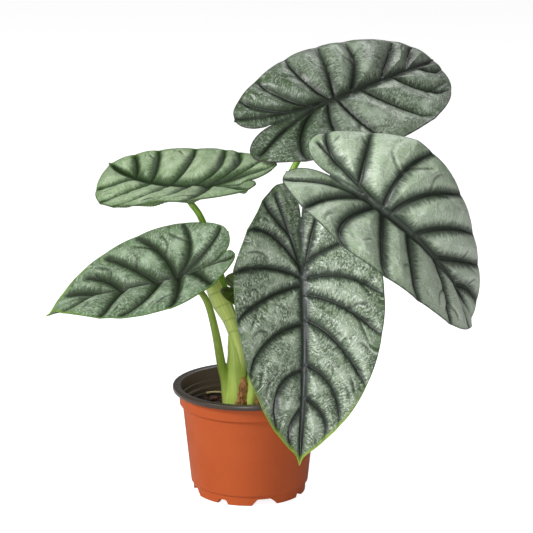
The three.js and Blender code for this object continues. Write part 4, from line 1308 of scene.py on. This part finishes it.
def chipPiece(nodeName, seed):
    # a split flake of bark as large as its place
    low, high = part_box(nodeName)
    size, centre = high - low, (high + low) / 2
    piece = added(bpy.ops.mesh.primitive_cube_add, size=1)
    piece.name = nodeName + "_flake"
    editAll(piece)
    bpy.ops.mesh.subdivide(number_cuts=9, smoothness=0.35)
    bpy.ops.object.mode_set(mode="OBJECT")
    points = coordinates(piece)
    longSide = size.x >= size.y
    lines = points * ((2, 7, 3) if longSide else (7, 2, 3))
    splits = 0.16 * roughen(lines, 1.0, seed) + 0.07 * roughen(points, 9, seed)
    points = points * (1 + splits)[:, None]
    reach = np.abs(points).max(0) * 2
    moveVertices(piece, points / reach * np.array(size) + np.array(centre))
    smooth(piece, 40)
    piece.data.materials.append(barkFlake)
    claim(piece, "bark", nodeName)


barkFlake = earthMaterial("barkFlake", [(118, 74, 46), (82, 50, 32), (48, 32, 22)], 150.0, 0.85)
for i in range(5):
    chipPiece("bark_chip_" + str(i + 1), i + 20)

(fromX, fromY), (toX, toY) = strawForm["from"], strawForm["to"]
strawLine = [(fromX, fromY, strawForm["height"]),
             ((fromX + toX) / 2, (fromY + toY) / 2 + strawForm["bow"], strawForm["height"] + 0.2),
             (toX, toY, strawForm["height"])]
strawRadii = [(0, strawForm["radius"]), (1, strawForm["radius"] * 0.75)]
straw = tube("straw_bit", catmullRom(strawLine), strawRadii, 16, 40, ribs=5, ribDepth=0.12)
strawMaterial = stalkMaterial("strawDry", (206, 190, 136), (168, 144, 92), (206, 190, 136))
straw.data.materials.append(strawMaterial)
claim(straw, "straw", "straw_strand")
print("chips and straw made")

# floor and light

studio = {"floor": 12.0, "floorTone": 0.6, "floorGlow": 0.85, "sky": 0.16, "backdrop": 1.0}
floor = added(bpy.ops.mesh.primitive_plane_add, size=studio["floor"])
floor.name = "floor"
floorMaterial, floorTree, floorShader = newMaterial("paleFloor", 0.9)
floorShader.inputs["Base Color"].default_value = (studio["floorTone"],) * 3 + (1,)
floorShader.inputs["Emission Color"].default_value = (1, 1, 1, 1)
seen = node(floorTree, "LightPath").outputs["Is Camera Ray"]
glow = node(floorTree, "MapRange", {"Value": seen, "To Min": studio["sky"], "To Max": studio["floorGlow"]})
floorTree.links.new(glow.outputs["Result"], floorShader.inputs["Emission Strength"])
floor.data.materials.append(floorMaterial)

world = bpy.data.worlds.new("studio")
world.use_nodes = True
background = world.node_tree.nodes["Background"]
background.inputs["Color"].default_value = (1, 1, 1, 1)
seen = node(world.node_tree, "LightPath").outputs["Is Camera Ray"]
strength = node(world.node_tree, "MapRange", {"Value": seen, "To Min": studio["sky"],
                                              "To Max": studio["backdrop"]})
world.node_tree.links.new(strength.outputs["Result"], background.inputs["Strength"])
scene.world = world
scene.view_settings.view_transform = "Standard"

lights = {
    "keyLight": {"place": (-1.25, -0.85, 1.1), "size": 0.4, "power": 24},
    "fillLight": {"place": (-0.25, -1.9, 0.6), "size": 0.6, "power": 14},
    "backLight": {"place": (0.4, 0.9, 1.4), "size": 0.8, "power": 8},
}
for name, form in lights.items():
    data = bpy.data.lights.new(name, "AREA")
    data.size = form["size"]
    data.energy = form["power"]
    light = bpy.data.objects.new(name, data)
    light.location = form["place"]
    aim = Vector((0, 0, 0.17)) - Vector(form["place"])
    light.rotation_euler = aim.to_track_quat("-Z", "Y").to_euler()
    scene.collection.objects.link(light)
print("floor and light made")
